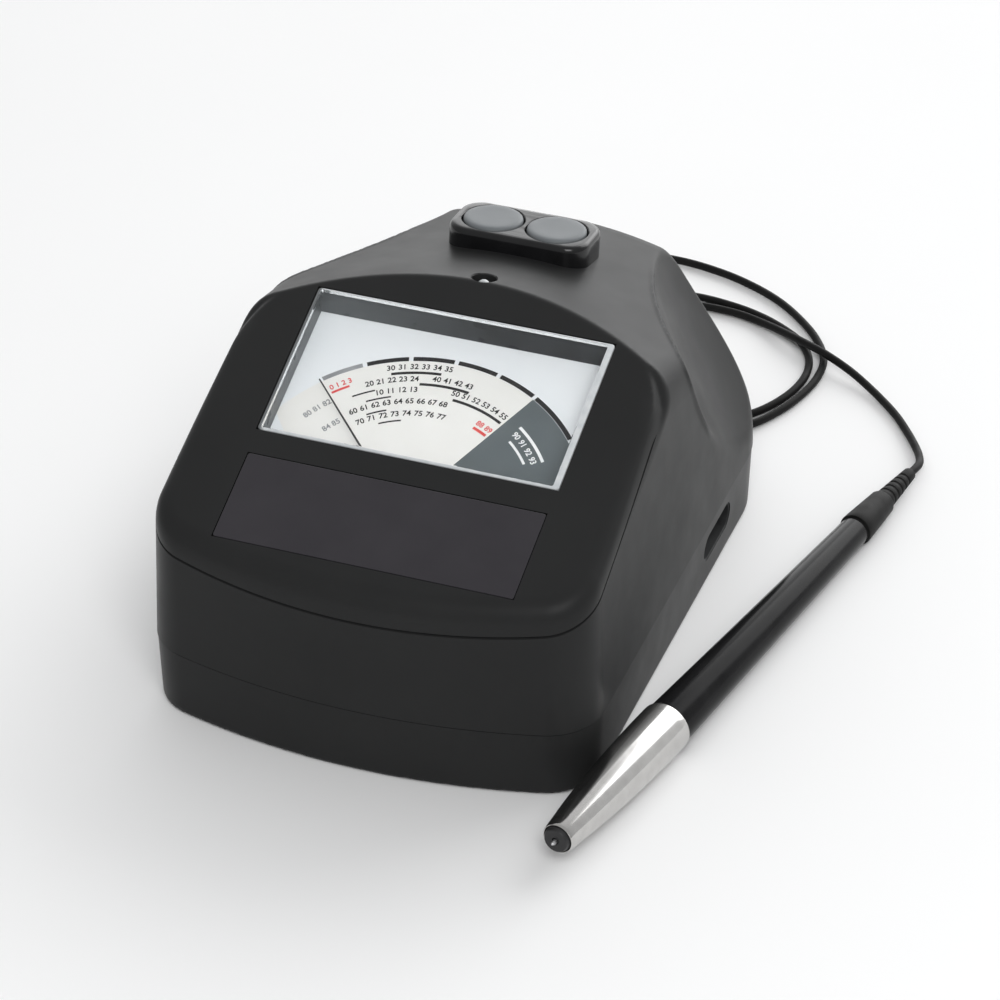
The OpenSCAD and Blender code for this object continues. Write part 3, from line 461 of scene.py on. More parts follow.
def softened(corners, steps):
    """A line of (a, b, round) corners, each drawn as a curve that starts round millimetres before it."""
    line = []
    for i, (a, b, reach) in enumerate(corners):
        here = np.array((a, b), float)
        if reach == 0:
            line.append(here)
            continue
        before = np.array(corners[i - 1][:2], float)
        after = np.array(corners[(i + 1) % len(corners)][:2], float)
        start = here + (before - here) / np.linalg.norm(before - here) * reach
        end = here + (after - here) / np.linalg.norm(after - here) * reach
        for t in np.linspace(0, 1, steps + 1):
            line.append((1 - t) ** 2 * start + 2 * t * (1 - t) * here + t ** 2 * end)
    return line


QUARTERS = ((1, 1), (-1, 1), (-1, -1), (1, -1))


def round_ring(width, depth, radius, height, steps):
    """Outline of a plate with rounded corners."""
    points = []
    for quarter, (sx, sy) in enumerate(QUARTERS):
        for step in range(steps + 1):
            angle = math.pi / 2 * (quarter + step / steps)
            points.append((sx * (width / 2 - radius) + radius * math.cos(angle),
                           sy * (depth / 2 - radius) + radius * math.sin(angle), height))
    return np.array(points)


LEAST_CORNER_R = 0.05


def plate(width, depth, radius, profile, steps):
    """Plate with rounded corners through (inset, height) pairs."""
    return loft([round_ring(width - 2 * t, depth - 2 * t, max(radius - t, LEAST_CORNER_R), h, steps)
                 for t, h in profile])


def prism(outline, low, high):
    outline = np.asarray(outline, float)
    return loft([np.c_[outline, np.full(len(outline), low)], np.c_[outline, np.full(len(outline), high)]])


def bar(width, depth, low, high):
    half = np.array((width, depth)) / 2
    return prism([half * signs for signs in QUARTERS], low, high)


# How much of a round end stays straight, so that its corners don't fall together
END_FLAT = 0.01
END_STEPS = 12


def stadium(length, height, low, high):
    """Slot with round ends along Y, pushed along Z."""
    return loft([round_ring(height, length, height / 2 - END_FLAT, z, END_STEPS) for z in (low, high)])


def joined(shapes):
    """Several (shape, place) pairs as one shape, in millimetres."""
    points, faces = [], []
    for (part_points, part_faces), place in shapes:
        start = sum(len(p) for p in points)
        points.append(placed(part_points, place) / MM)
        faces += [tuple(i + start for i in face) for face in part_faces]
    return np.concatenate(points), faces


def cut(target, shapes):
    """Takes closed shapes that don't touch each other out of a piece."""
    tool = new_object("cutter", new_mesh("cutter", *joined(shapes)))
    step = target.modifiers.new("cut", "BOOLEAN")
    step.operation = "DIFFERENCE"
    step.solver = "MANIFOLD"
    step.object = tool
    baked(target)
    bpy.data.objects.remove(tool)


def baked(target):
    """Applies a piece's modifiers."""
    ready = bpy.context.evaluated_depsgraph_get()
    ready.update()
    mesh = bpy.data.meshes.new_from_object(target.evaluated_get(ready))
    target.modifiers.clear()
    target.data = mesh


# Cord: one smooth tube from the gland to the probe

def smooth_line(route, steps):
    """Catmull-Rom curve through the points of a route."""
    route = np.array(route, float)
    ends = np.concatenate([[2 * route[0] - route[1]], route, [2 * route[-1] - route[-2]]])
    line = []
    for i in range(len(route) - 1):
        a, b, c, d = ends[i:i + 4]
        for t in np.arange(steps) / steps:
            line.append(0.5 * (2 * b + (c - a) * t + (2 * a - 5 * b + 4 * c - d) * t ** 2
                               + (3 * b - a - 3 * c + d) * t ** 3))
    return np.array(line + [route[-1]])


def tube(line, radius, sides):
    """Skin of a round tube along a line that never runs straight up."""
    ahead = np.gradient(line, axis=0)
    ahead /= np.linalg.norm(ahead, axis=1)[:, None]
    level = np.cross((0, 0, 1), ahead)
    level /= np.linalg.norm(level, axis=1)[:, None]
    upward = np.cross(ahead, level)
    angles = np.arange(sides) * 2 * np.pi / sides
    return loft([p + radius * (np.cos(angles)[:, None] * a + np.sin(angles)[:, None] * b)
                 for p, a, b in zip(line, level, upward)])


CORD_STEPS = 8
CORD_SIDES = 14
cord_line = smooth_line(CORD_ROUTE, CORD_STEPS)
cord_mesh = new_mesh("cord_tube", *tube(cord_line, CORD_D / 2, CORD_SIDES))
smoothed(cord_mesh)
cord_mesh.materials.append(FINISHES["rubber_black"].material)
cord = new_object("cord_tube", cord_mesh)
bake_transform(cord)
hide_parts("cord")


# Housing form, as a field that is negative inside

def smooth_max(a, b, reach):
    near = np.maximum(reach - np.abs(a - b), 0) / reach
    return np.maximum(a, b) + near * near * reach / 4


def smooth_step(t):
    t = np.clip(t, 0, 1)
    return t * t * (3 - 2 * t)


def eased(value, span):
    """From 0 to 1 as a value goes from one end of a span to the other."""
    return smooth_step((value - span[0]) / (span[1] - span[0]))


def end_field(x, out, bow, radius):
    """One end of the plan, out measured from the middle: a bow, straight sides and tangent corner rounds."""
    out = out - HALF_LEN + bow
    middle = HALF_W - radius
    away = bow - radius
    centre = math.sqrt(away ** 2 - middle ** 2)
    beside = np.abs(x) - middle
    beyond = out - centre
    in_corner = (beyond > 0) & (beyond * middle < beside * centre)
    plain = np.maximum(np.abs(x) - HALF_W, np.hypot(x, out) - bow)
    return np.where(in_corner, np.hypot(beside, beyond) - radius, plain)


def plan_field(x, y):
    """Outline of the housing from above: straight sides, bowed front and rear, rounded corners."""
    front = end_field(x, -y, FRONT_BOW_R, FRONT_CORNER_R)
    return np.maximum(front, end_field(x, y, BOW_R, REAR_CORNER_R))


def wall_field(x, y, z):
    return plan_field(x, y) - FLARE * (FLARE_FROM - z)


# How softly the surfaces run into each other, and how much softer the scoops' edges get where they fade
EDGE_SOFT = 4.5
REAR_SOFT = 5
ROOF_SOFT = 6.5
SCOOP_SOFT = 0.4
SCOOP_FADE = 0.9
# A low bead along the crisp part of the scoops' edges
RIDGE_H = 0.3
RIDGE_HALF_W = 0.5
# Where those edges turn soft: so far below the crest, and so far back
SOFT_BELOW = (32, 44)
SOFT_BEHIND = (40, 60)
# Where the roof's rounder edges have become like the others, going back
ROLL_FADE = (12, 42)
CREST_SOFT = 0.5
# The face's raised middle: half its width at the crest, how far down it widens, by how much, and the share
# of that at which it stops; the crest's bow along the face, and how softly it turns into the sides
RAISED_HALF = 49.6
RAISED_FROM_V = -13.4
RAISED_TO_V = -70
RAISED_GROWTH = 2.9
RAISED_STOP = 1.2
CREST_BOW = 149
CREST_TURN = 12
# The step down beside the raised middle, and the groove along it
ROLL_W = 1.6
GROOVE_DEPTH = 0.75
GROOVE_HALF_W = 0.95
# A slit in the walls under the rim of the face, lower at the front: its frame, width and depth; the angles
# from which and to which it runs, how fast it fades out there, and how clear of the wall its cutter ends;
# the range in which the wall is looked for, and how far the cutter reaches past it
SLIT = FACE @ at(0, -42, -4) @ turn(2.2, "X")
SLIT_H = 0.6
SLIT_DEPTH = 0.7
SLIT_SWEEP = (27, -207)
SLIT_POINTS = 300
SLIT_FADE = 12
SLIT_CLEAR = 0.2
SLIT_RANGE = (20.0, 80.0)
SLIT_HALVINGS = 40
SLIT_PAST = 6


def raised_field(x, along):
    """How far a point of the face lies outside its raised middle, and how much that is at the side."""
    grown = np.clip((RAISED_FROM_V - along) / (RAISED_FROM_V - RAISED_TO_V), 0, RAISED_STOP)
    aside = np.abs(x) - RAISED_HALF - RAISED_GROWTH * grown
    past_crest = along + x ** 2 / CREST_BOW
    at_side = smooth_step((aside - past_crest) / CREST_TURN + 0.5)
    return smooth_max(aside, past_crest, CREST_TURN), at_side


def upper_field(p):
    x, y, z = p[..., 0], p[..., 1], p[..., 2]
    tilt = math.radians(FACE_TILT)
    along = (y - CREST_Y) * math.cos(tilt) + (z - CREST_H) * math.sin(tilt)
    above = (z - CREST_H) * math.cos(tilt) - (y - CREST_Y) * math.sin(tilt)
    beyond, at_side = raised_field(x, along)
    groove = GROOVE_DEPTH * np.exp(-((beyond - ROLL_W / 2) / GROOVE_HALF_W) ** 2)
    face = above + at_side * (REBATE * smooth_step(beyond / ROLL_W + 0.5) + groove)

    slope = math.radians(ROOF_SLOPE)
    over = (z - CREST_H) * math.cos(slope) + (y - CREST_Y) * math.sin(slope)
    roof = np.hypot(x, over + CROWN_R) - CROWN_R

    lean = math.radians(REAR_LEAN)
    behind = (y - REAR_EDGE_Y) * math.cos(lean) + (z - REAR_EDGE_H) * math.sin(lean)
    rear = np.hypot(x, behind + BOW_R) - BOW_R

    axis = np.array(SCOOP_AXIS) / np.linalg.norm(SCOOP_AXIS)
    off = np.stack([np.abs(x), y, z], -1) - np.array(SCOOP_POINT)
    off = off - (off @ axis)[..., None] * axis
    scoop = SCOOP_R - np.linalg.norm(off, axis=-1)

    walls = wall_field(x, y, z)
    roll = ROOF_SOFT + (EDGE_SOFT - ROOF_SOFT) * eased(y, ROLL_FADE)
    around = smooth_max(smooth_max(roof, rear, REAR_SOFT), walls, roll)
    field = smooth_max(face, around, CREST_SOFT + (EDGE_SOFT - CREST_SOFT) * at_side)
    fade = np.clip(eased(CREST_H - z, SOFT_BELOW) + eased(y, SOFT_BEHIND), 0, 1)
    ridge = RIDGE_H * (1 - fade) * np.exp(-((field - scoop) / RIDGE_HALF_W) ** 2)
    return smooth_max(field, scoop, SCOOP_SOFT + SCOOP_FADE * fade) - ridge


BASE_SOFT = 1.2


def lower_field(p):
    """Lower tub: set in at the seam and drawn in a little towards the base."""
    x, y, z = p[..., 0], p[..., 1], p[..., 2]
    widest = FLARE * (FLARE_FROM - SEAM_H) - SEAM_STEP
    walls = plan_field(x, y) - widest + TUB_LEAN * (1 - np.clip(z / SEAM_H, 0, 1))
    return smooth_max(walls, -z, BASE_SOFT)


SLOPE_STEP = 0.05


def slope_of(field, points):
    parts = []
    for axis in np.eye(3) * SLOPE_STEP:
        parts.append(field(points + axis) - field(points - axis))
    return np.stack(parts, -1) / (2 * SLOPE_STEP)


CELL_CORNERS = 8
# Rounds in which the points are evened out, and steps in each that draw them onto the level
SKIN_ROUNDS = 3
SKIN_STEPS = 2
# Keeps a step short where the field hardly changes
LEAST_SLOPE_SQUARED = 0.04


def skin(field, low, high, cell):
    """Quads over the zero level of a field: one point in each crossed cell, drawn onto the level."""
    lines = [np.arange(a, b + cell, cell) for a, b in zip(low, high)]
    inside = np.stack([field(np.stack(np.meshgrid([x], lines[1], lines[2], indexing="ij"), -1))[0] < 0
                       for x in lines[0]])
    counts = [n - 1 for n in inside.shape]
    full = np.zeros(counts, np.int8)
    for i, j, k in np.ndindex(2, 2, 2):
        full += inside[i:i + counts[0], j:j + counts[1], k:k + counts[2]]
    crossed = (full > 0) & (full < CELL_CORNERS)
    number = np.full(counts, -1)
    number[crossed] = np.arange(crossed.sum())
    points = (np.argwhere(crossed) + 0.5) * cell + np.array([line[0] for line in lines])
    quads = []
    for axis in range(3):
        b, c = (axis + 1) % 3, (axis + 2) % 3
        first = np.take(inside, range(counts[axis]), axis)
        change = np.argwhere(first != np.take(inside, range(1, counts[axis] + 1), axis))
        change = change[(change[:, b] > 0) & (change[:, c] > 0)
                        & (change[:, b] < counts[b]) & (change[:, c] < counts[c])]
        leaves = first[tuple(change.T)]
        corners = []
        for back_b, back_c in ((0, 0), (1, 0), (1, 1), (0, 1)):
            spot = change.copy()
            spot[:, b] -= back_b
            spot[:, c] -= back_c
            corners.append(number[tuple(spot.T)])
        quad = np.stack(corners, 1)
        quads.append(np.where(leaves[:, None], quad, quad[:, ::-1]))
    quads = np.concatenate(quads)
    for _ in range(SKIN_ROUNDS):
        neighbours = np.zeros_like(points)
        meeting = np.zeros(len(points))
        middles = points[quads].mean(1)
        for corner in range(4):
            np.add.at(neighbours, quads[:, corner], middles)
            np.add.at(meeting, quads[:, corner], 1)
        points = np.where(meeting[:, None] > 0, neighbours / np.maximum(meeting, 1)[:, None], points)
        for _ in range(SKIN_STEPS):
            away = slope_of(field, points)
            step = field(points) / np.maximum((away ** 2).sum(1), LEAST_SLOPE_SQUARED)
            points = points - step[:, None] * away
    return points, quads


# How near to a cutting plane a point counts as on it, in metres
ON_PLANE = 1e-7


def sliced(mesh, point, normal, keep_above, fill=False):
    """Keeps a mesh's part above or below a plane, closed there on request."""
    work = bmesh.new()
    work.from_mesh(mesh)
    everything = work.verts[:] + work.edges[:] + work.faces[:]
    bmesh.ops.bisect_plane(work, geom=everything, dist=ON_PLANE, plane_co=point, plane_no=normal,
                           clear_inner=keep_above, clear_outer=not keep_above)
    if fill:
        bmesh.ops.holes_fill(work, edges=[e for e in work.edges if e.is_boundary])
    work.to_mesh(mesh)
    work.free()


def shell(name, field, low, high, cell, level, keep_above):
    """Hollow half of the housing: the skin of a field, cut level, with the wall's thickness."""
    points, quads = skin(field, low, high, cell)
    mesh = bpy.data.meshes.new(name)
    mesh.from_pydata((points * MM).tolist(), [], quads.tolist())
    sliced(mesh, (0, 0, level * MM), (0, 0, 1), keep_above)
    made = new_object(name, mesh)
    thick = made.modifiers.new("wall", "SOLIDIFY")
    thick.thickness = WALL * MM
    thick.offset = -1
    thick.use_even_offset = True
    baked(made)
    return made


# How far from a field's level, in millimetres, and how much turned from its slope a face still follows it
NEAR_LEVEL = 0.02
ALIKE_COSINE = 0.7
TINY = 1e-6


def shade_by_field(made, field):
    """Gives the faces on a field's level the field's own normals, so that its curves look smooth."""
    mesh = made.data
    count = len(mesh.loops)
    at_vertex = np.zeros(len(mesh.vertices) * 3)
    mesh.vertices.foreach_get("co", at_vertex)
    at_vertex = at_vertex.reshape(-1, 3) / MM
    away = slope_of(field, at_vertex)
    away /= np.maximum(np.linalg.norm(away, axis=1), TINY)[:, None]
    on_level = np.abs(field(at_vertex)) < NEAR_LEVEL
    vertex = np.zeros(count, int)
    mesh.loops.foreach_get("vertex_index", vertex)
    sizes = np.zeros(len(mesh.polygons), int)
    mesh.polygons.foreach_get("loop_total", sizes)
    flat = np.zeros(len(mesh.polygons) * 3)
    mesh.polygons.foreach_get("normal", flat)
    flat = np.repeat(flat.reshape(-1, 3), sizes, axis=0)
    follows = on_level[vertex] & ((away[vertex] * flat).sum(1) > ALIKE_COSINE)
    normals = np.where(follows[:, None], away[vertex], flat)
    mesh.polygons.foreach_set("use_smooth", [True] * len(mesh.polygons))
    mesh.normals_split_custom_set(normals.tolist())


def rim_slit():
    """Cutter for the slit, along the walls from the right of the crest by the front to the left."""
    place = np.array(SLIT)
    sweep = np.radians(np.linspace(*SLIT_SWEEP, SLIT_POINTS))
    heading = np.stack([np.cos(sweep), np.sin(sweep), 0 * sweep], -1)
    from_start = smooth_step(np.linspace(0, SLIT_FADE, SLIT_POINTS))
    fade = from_start * from_start[::-1]
    low, high = (np.full(SLIT_POINTS, end) for end in SLIT_RANGE)
    for _ in range(SLIT_HALVINGS):
        reach = (low + high) / 2
        spot = (heading * reach[:, None]) @ place[:3, :3].T + place[:3, 3]
        outside = wall_field(*spot.T) > SLIT_CLEAR - (SLIT_CLEAR + SLIT_DEPTH) * fade
        low, high = np.where(outside, low, reach), np.where(outside, reach, high)
    half = SLIT_H / 2
    rings = []
    for ahead, inner in zip(heading, (low + high) / 2):
        outer = inner + SLIT_PAST
        corners = [(inner, -half), (inner, half), (outer, half), (outer, -half)]
        rings.append(np.array([ahead * away + np.array((0, 0, rise)) for away, rise in corners]))
    return loft(rings)


# Gap around the window and the label
GAP = 0.2
SIDES = (-1, 1)
KEY_BORE_R = 2.85
LAMP_BEVEL = 0.3
# The boxes in which the two fields are skinned, and the width of a cell
UPPER_BOX = (-55, -78.8, 14), (55, 78.8, 81)
TUB_BOX = (-54.6, -78.6, -2), (54.6, 78.6, 20)
cell = 0.7
upper = shell("upper_shell", upper_field, *UPPER_BOX, cell, SEAM_H, True)
lamp_rim = LAMP_R + LAMP_BEVEL
lamp_bore = turned([(LAMP_R, -8), (LAMP_R, -LAMP_BEVEL), (lamp_rim, 0), (lamp_rim, 5)], 48)
key_bore = turned([(KEY_BORE_R, -20), (KEY_BORE_R, 4)], 32)
upper_cuts = [
    (rim_slit(), SLIT),
    (bar(WINDOW_W + 2 * GAP, WINDOW_H + 2 * GAP, -7, 4), FACE @ at(0, WINDOW_V, 0)),
    (bar(LABEL_W + 2 * GAP, LABEL_H + 2 * GAP, -LABEL_T - 0.05, 4), FACE @ at(0, LABEL_V, 0)),
    (lamp_bore, ROOF @ at(0, LAMP_V, 0)),
]
cut(upper, upper_cuts + [(key_bore, KEYS @ at(sx * KEY_X, 0, 0)) for sx in SIDES])
shade_by_field(upper, upper_field)
fitted(upper, "housing_plastic", "base", "housing_plastic", "upper_housing")

GLAND_BORE_R = 3.25
POST_BORE_R = 3.2
FOOT_H = 1.2
tub = shell("lower_tub", lower_field, *TUB_BOX, 1.5 * cell, SEAM_H - SEAM_LINE, False)
tub_cuts = [
    (bar(*DOOR_SIZE, -2, 6), at(0, DOOR_Y, 0)),
    (stadium(ROCKER_LEN, ROCKER_H, -6, 6), at(HALF_W, ROCKER_Y, ROCKER_Z) @ turn(90, "Y")),
    (turned([(GLAND_BORE_R, -15), (GLAND_BORE_R, 6)], 48), GLAND),
]
post_bore = turned([(POST_BORE_R, -2), (POST_BORE_R, 7)], 40)
foot_bore = turned([(FOOT_R, -2), (FOOT_R, FOOT_H)], 48)
for sx in SIDES:
    tub_cuts += [(post_bore, at(sx * POST_X, y, 0)) for y in POST_YS]
    tub_cuts += [(foot_bore, at(sx * FOOT_X, sy * FOOT_Y, 0)) for sy in SIDES]
cut(tub, tub_cuts)
shade_by_field(tub, lower_field)
fitted(tub, "housing_plastic", "base", "housing_plastic", "lower_housing")

label_edge = [(0, -LABEL_T), (0, -0.16), (0.05, -0.05), (0.16, 0)]
piece("label_panel", plate(LABEL_W, LABEL_H, 0.6, label_edge, 4), FACE @ at(0, LABEL_V, 0),
      "label_film", "base", "label_film", "label_plate", angle=FLAT_ANGLE)


# Meter: clear cover, and prints on the dial

# Widths of the cover's edge, which is drawn bright as a painted highlight: left, right, bottom and top
EDGES = (0.7, 1.5, 0.7, 0.45)
pane_w = WINDOW_W - EDGES[0] - EDGES[1]
pane_h = WINDOW_H - EDGES[2] - EDGES[3]
edge_shift = np.array((EDGES[0] - EDGES[1], EDGES[2] - EDGES[3])) / 2
PANE = FACE @ at(edge_shift[0], WINDOW_V + edge_shift[1], 0)
cover_line = [(0, -COVER_T), (0, -0.12), (0.05, -0.03), (0.15, 0)]
piece("meter_window", plate(pane_w, pane_h, 0.5, cover_line, 4), PANE, "clear_window", "base", "clear_window",
      "meter_cover", angle=FLAT_ANGLE)


def frame_ring(width, depth, shift, radius, height):
    return round_ring(width, depth, radius, height, 4) + np.array((*shift, 0))


# The cover's edge: a ring drawn opaque and light as a painted highlight of the clear edge, darker along its
# left side as painted shade
edge_rings = [frame_ring(pane_w + 0.02, pane_h + 0.02, edge_shift, 0.5, h) for h in (-COVER_T, -0.1, 0)]
edge_rings += [frame_ring(WINDOW_W - 2 * t, WINDOW_H - 2 * t, (0, 0), 0.8 - t, h)
               for t, h in ((0.3, 0), (0.1, -0.1), (0, -0.3), (0, -COVER_T))]
piece("window_edge", hoop(edge_rings), FACE @ at(0, WINDOW_V, 0), "edge_painted_highlight", "base", "clear_window")

# Walls between the cover and the dial, open below for the needle; the upper one leans in. Their near-black
# colour is painted shade, and they turn lighter towards the left as a painted reflection.
SHROUD_T = 0.9
SHROUD_LEAN = 1.7
SHROUD_LOW = -DIAL_DEPTH + 0.1
SHROUD_HIGH = -COVER_T - 0.02
shroud_top = WINDOW_V + WINDOW_H / 2
upper_wall = [(shroud_top + SHROUD_T, SHROUD_LOW), (shroud_top + SHROUD_T, SHROUD_HIGH),
              (shroud_top, SHROUD_HIGH), (shroud_top - SHROUD_LEAN, SHROUD_LOW)]
shroud_half = WINDOW_W / 2 + SHROUD_T
shroud = [(loft([np.array([(x, v, w) for v, w in upper_wall]) for x in (-shroud_half, shroud_half)]), HERE)]
side_wall = bar(SHROUD_T, WINDOW_H, SHROUD_LOW, SHROUD_HIGH)
shroud += [(side_wall, at(sx * (WINDOW_W + SHROUD_T) / 2, WINDOW_V, 0)) for sx in SIDES]
piece("meter_shroud", joined(shroud), FACE, "shroud_painted_shade_and_reflection", "base", "dark_plastic")

# The needle: degrees to the left at rest, height from the face, and length
NEEDLE_REST = 45
NEEDLE_W = -DIAL_DEPTH + 2.2
NEEDLE_LEN = 40.3
pointer = prism([(-0.6, -8), (0.6, -8), (0.26, 6), (0.14, NEEDLE_LEN), (-0.14, NEEDLE_LEN), (-0.26, 6)],
                NEEDLE_W - 0.2, NEEDLE_W + 0.2)
hub = turned([(2, NEEDLE_W - 0.6), (2, NEEDLE_W + 0.35), (1.75, NEEDLE_W + 0.6)], 40)
weight = turned([(1.2, NEEDLE_W - 0.6), (1.2, NEEDLE_W + 0.45), (1.05, NEEDLE_W + 0.6)], 32)
piece("pointer", joined([(pointer, HERE), (hub, HERE), (weight, at(0, -8, 0))]),
      FACE @ at(0, PIVOT_V, 0) @ turn(NEEDLE_REST, "Z"), "needle_black", "needle", "needle_black", "needle")

# Thickness of a print
INK = 0.05


def on_dial(radius, degrees):
    """Point of the dial at a radius about the needle's pivot, degrees to the right of the middle."""
    angle = math.radians(degrees)
    return radius * math.sin(angle), radius * math.cos(angle)


def band(inner, outer, start, end):
    """Outline of an arc-shaped print, with a point for each degree."""
    angles = np.linspace(start, end, max(2, int(abs(end - start)) + 1))
    return [on_dial(outer, a) for a in angles] + [on_dial(inner, a) for a in angles[::-1]]


def ink(name, outlines, finish, low=0.0, high=INK):
    shapes = [(prism(outline, low, high), HERE) for outline in outlines]
    return piece(name, joined(shapes), DIAL, finish, "base", "dial_white")


# How much heavier than the font's the numbers' strokes are
STROKE = 0.035


def numerals(name, marks, finish, size, level=0.0):
    """Plain numbers on the dial, each (text, radius, degrees)."""
    shapes = []
    for text, radius, degrees in marks:
        line = bpy.data.curves.new("numeral", "FONT")
        line.body = text
        line.size = size
        line.align_x = line.align_y = "CENTER"
        line.extrude = INK / 2
        line.resolution_u = 3
        line.offset = STROKE
        drawn = new_object("numeral", line)
        mesh = bpy.data.meshes.new_from_object(drawn.evaluated_get(bpy.context.evaluated_depsgraph_get()))
        points = np.array([v.co[:] for v in mesh.vertices])
        faces = [tuple(f.vertices) for f in mesh.polygons]
        x, y = on_dial(radius, degrees)
        shapes.append(((points, faces), at(x, y, level + INK) @ turn(-degrees, "Z")))
        bpy.data.objects.remove(drawn)
        bpy.data.curves.remove(line)
        bpy.data.meshes.remove(mesh)
    return piece(name, joined(shapes), DIAL, finish, "base", "dial_white")


# The fields end below at one level and meet at one point of it
DIAL_LOW = 9.1
FIELDS_MEET = (5.3, DIAL_LOW)
SLATE_FROM = 29
warm = [on_dial(SCALE_R - 0.6, a) for a in np.linspace(-62, SLATE_FROM, 92)] + [FIELDS_MEET, (-28, DIAL_LOW)]
ink("dial_warm_field", [warm], "dial_warm", 0, INK / 2)
# The scale's radii, and the degrees from dash to dash, between two and at the first
ARC = (41.1, 42.2)
DASH = 14.6
DASH_GAP = 1.4
DASH_FROM = -43.5
dashes = [band(*ARC, DASH_FROM + DASH * i, DASH_FROM + DASH * (i + 1) - DASH_GAP) for i in range(5)]
# The first dash is drawn grey, the others black
ink("dial_first_dash", dashes[:1], "print_grey")
ink("dial_dashes", dashes[1:] + [band(*ARC, 29.4, 49)], "print_black")
slate = [on_dial(41.0, a) for a in np.linspace(SLATE_FROM, 51.5, 23)] + [(33.2, DIAL_LOW), FIELDS_MEET]
ink("dial_slate_field", [slate], "print_slate")
bars = [band(37.4, 38.1, -21.5, -4), band(34.2, 34.9, -11, 8.5), band(31.2, 31.9, 4, 28)]
ink("dial_bars", bars, "print_black", INK / 2)
thin_bars = [band(33.7, 34.1, -37, -28), band(31.2, 31.6, -32.5, -22), band(27.6, 28, -34, -24.5),
             band(24.3, 24.7, -29.5, -17.5)]
ink("dial_thin_bars", thin_bars, "print_black", INK / 2)
white_bars = [band(33.6, 34.3, 35, 54), band(29.6, 30.2, 38, 52)]
ink("dial_white_bars", white_bars, "print_white", INK, INK * 1.4)
red_bars = [band(36.7, 37.3, -43.2, -36.5), band(26.6, 27.3, 20, 28)]
ink("dial_red_bars", red_bars, "print_red", INK / 2)


def row(first, count, radius, start, gap):
    """A row of plain numbers along an arc."""
    return [(str(first + i), radius, start + gap * i) for i in range(count)]


marks = row(30, 6, 39.4, -21.5, 3.9) + row(40, 4, 36.2, -5, 4.1) + row(50, 6, 33.3, 4, 4.5)
marks += row(20, 5, 36, -29.5, 4.1) + row(10, 4, 33, -26.5, 4.5) + row(60, 9, 29.8, -39, 5)
marks += row(70, 8, 26.4, -38, 5.8)
NUMERAL_SIZE = 2
numerals("dial_numerals", marks, "print_black", NUMERAL_SIZE)
numerals("dial_grey_numerals", row(80, 3, 35, -55, 4.2) + row(84, 2, 29, -53, 5), "print_grey", NUMERAL_SIZE)
numerals("dial_red_numerals", row(0, 4, 38.4, -42.3, 2.2) + row(88, 2, 28.5, 21.5, 5), "print_red", 1.9)
numerals("dial_white_numerals", row(90, 4, 31.9, 37.5, 4.8), "print_white", NUMERAL_SIZE, INK)


# Keys in their block

# How deep the block sinks into the roof, and the gap around a key and its bevel
BLOCK_SUNK = 1.6
KEY_GAP = 0.35
KEY_BEVEL = 0.25
block_edge = [(0, -9.5), (0, -1.5), (0.1, -0.95), (0.32, -0.5), (0.65, -0.2), (1.1, -0.05), (1.6, 0)]
block_shape = plate(KEY_BLOCK_W, KEY_BLOCK_D, KEY_CORNER_R, block_edge, 10)
block = new_object("key_housing", new_mesh("key_housing", *block_shape, KEYS))
roof_up = (ROOF.to_3x3() @ Vector((0, 0, 1))).normalized()
sunk = (Vector((0, CREST_Y, CREST_H)) - roof_up * BLOCK_SUNK) * MM
sliced(block.data, sunk, roof_up, True, fill=True)
WELL_R = KEY_R + KEY_GAP
WELL_RIM_R = KEY_R + 0.6
well = turned([(WELL_R, -14), (WELL_R, -KEY_BEVEL), (WELL_RIM_R, 0), (WELL_RIM_R, 3)])
cut(block, [(well, KEYS @ at(sx * KEY_X, 0, 0)) for sx in SIDES])
smoothed(block.data)
fitted(block, "gloss_black", "base", "gloss_black", "key_block", "key_sheet")

KEY_LINE = [(0, -11), (2.5, -11), (2.5, -2.4), (6.7, -2.4), (7, -2.1), (7, -0.15), (6.93, 0.1), (6.72, 0.33),
            (6.4, 0.48), (6, 0.56), (5.5, 0.6), (4.2, 0.56), (2.6, 0.52), (1.2, 0.5), (0, 0.5)]
for side, sign in (("left", -1), ("right", 1)):
    piece(f"{side}_button", turned(KEY_LINE), KEYS @ at(sign * KEY_X, 0, 0),
          "key_grey", f"{side}_key", "key_grey", f"{side}_key")


# Rocker switch: a bezel let into the tub, and a key that stands with one end pressed in

# Places along X: the pin's axis, the bezel's back and rim, and the middle of the key's face
ROCKER_AXIS_X = 49
ROCKER_BACK = 46
ROCKER_RIM = 52.3
ROCKER_FACE = 50
ROCKER_WALL = 0.35
ROCKER_LIP = 0.15
ROCKER_FIT = 0.05
ROCKER_REST = -4
SIDEWAYS = turn(90, "Y")
# Z of this frame points out of the right wall
SWITCH = at(0, ROCKER_Y, ROCKER_Z) @ SIDEWAYS


def bezel_ring(inset, height):
    return round_ring(ROCKER_H - 2 * inset, ROCKER_LEN - 2 * inset, ROCKER_H / 2 - inset, height, END_STEPS)


bezel_rings = [bezel_ring(ROCKER_WALL, ROCKER_BACK), bezel_ring(ROCKER_WALL, ROCKER_RIM - ROCKER_LIP),
               bezel_ring(ROCKER_FIT, ROCKER_RIM), bezel_ring(ROCKER_FIT, ROCKER_BACK)]
piece("rocker_bezel", hoop(bezel_rings), SWITCH, "bezel_grey", "base", "gloss_black", "rocker_frame")

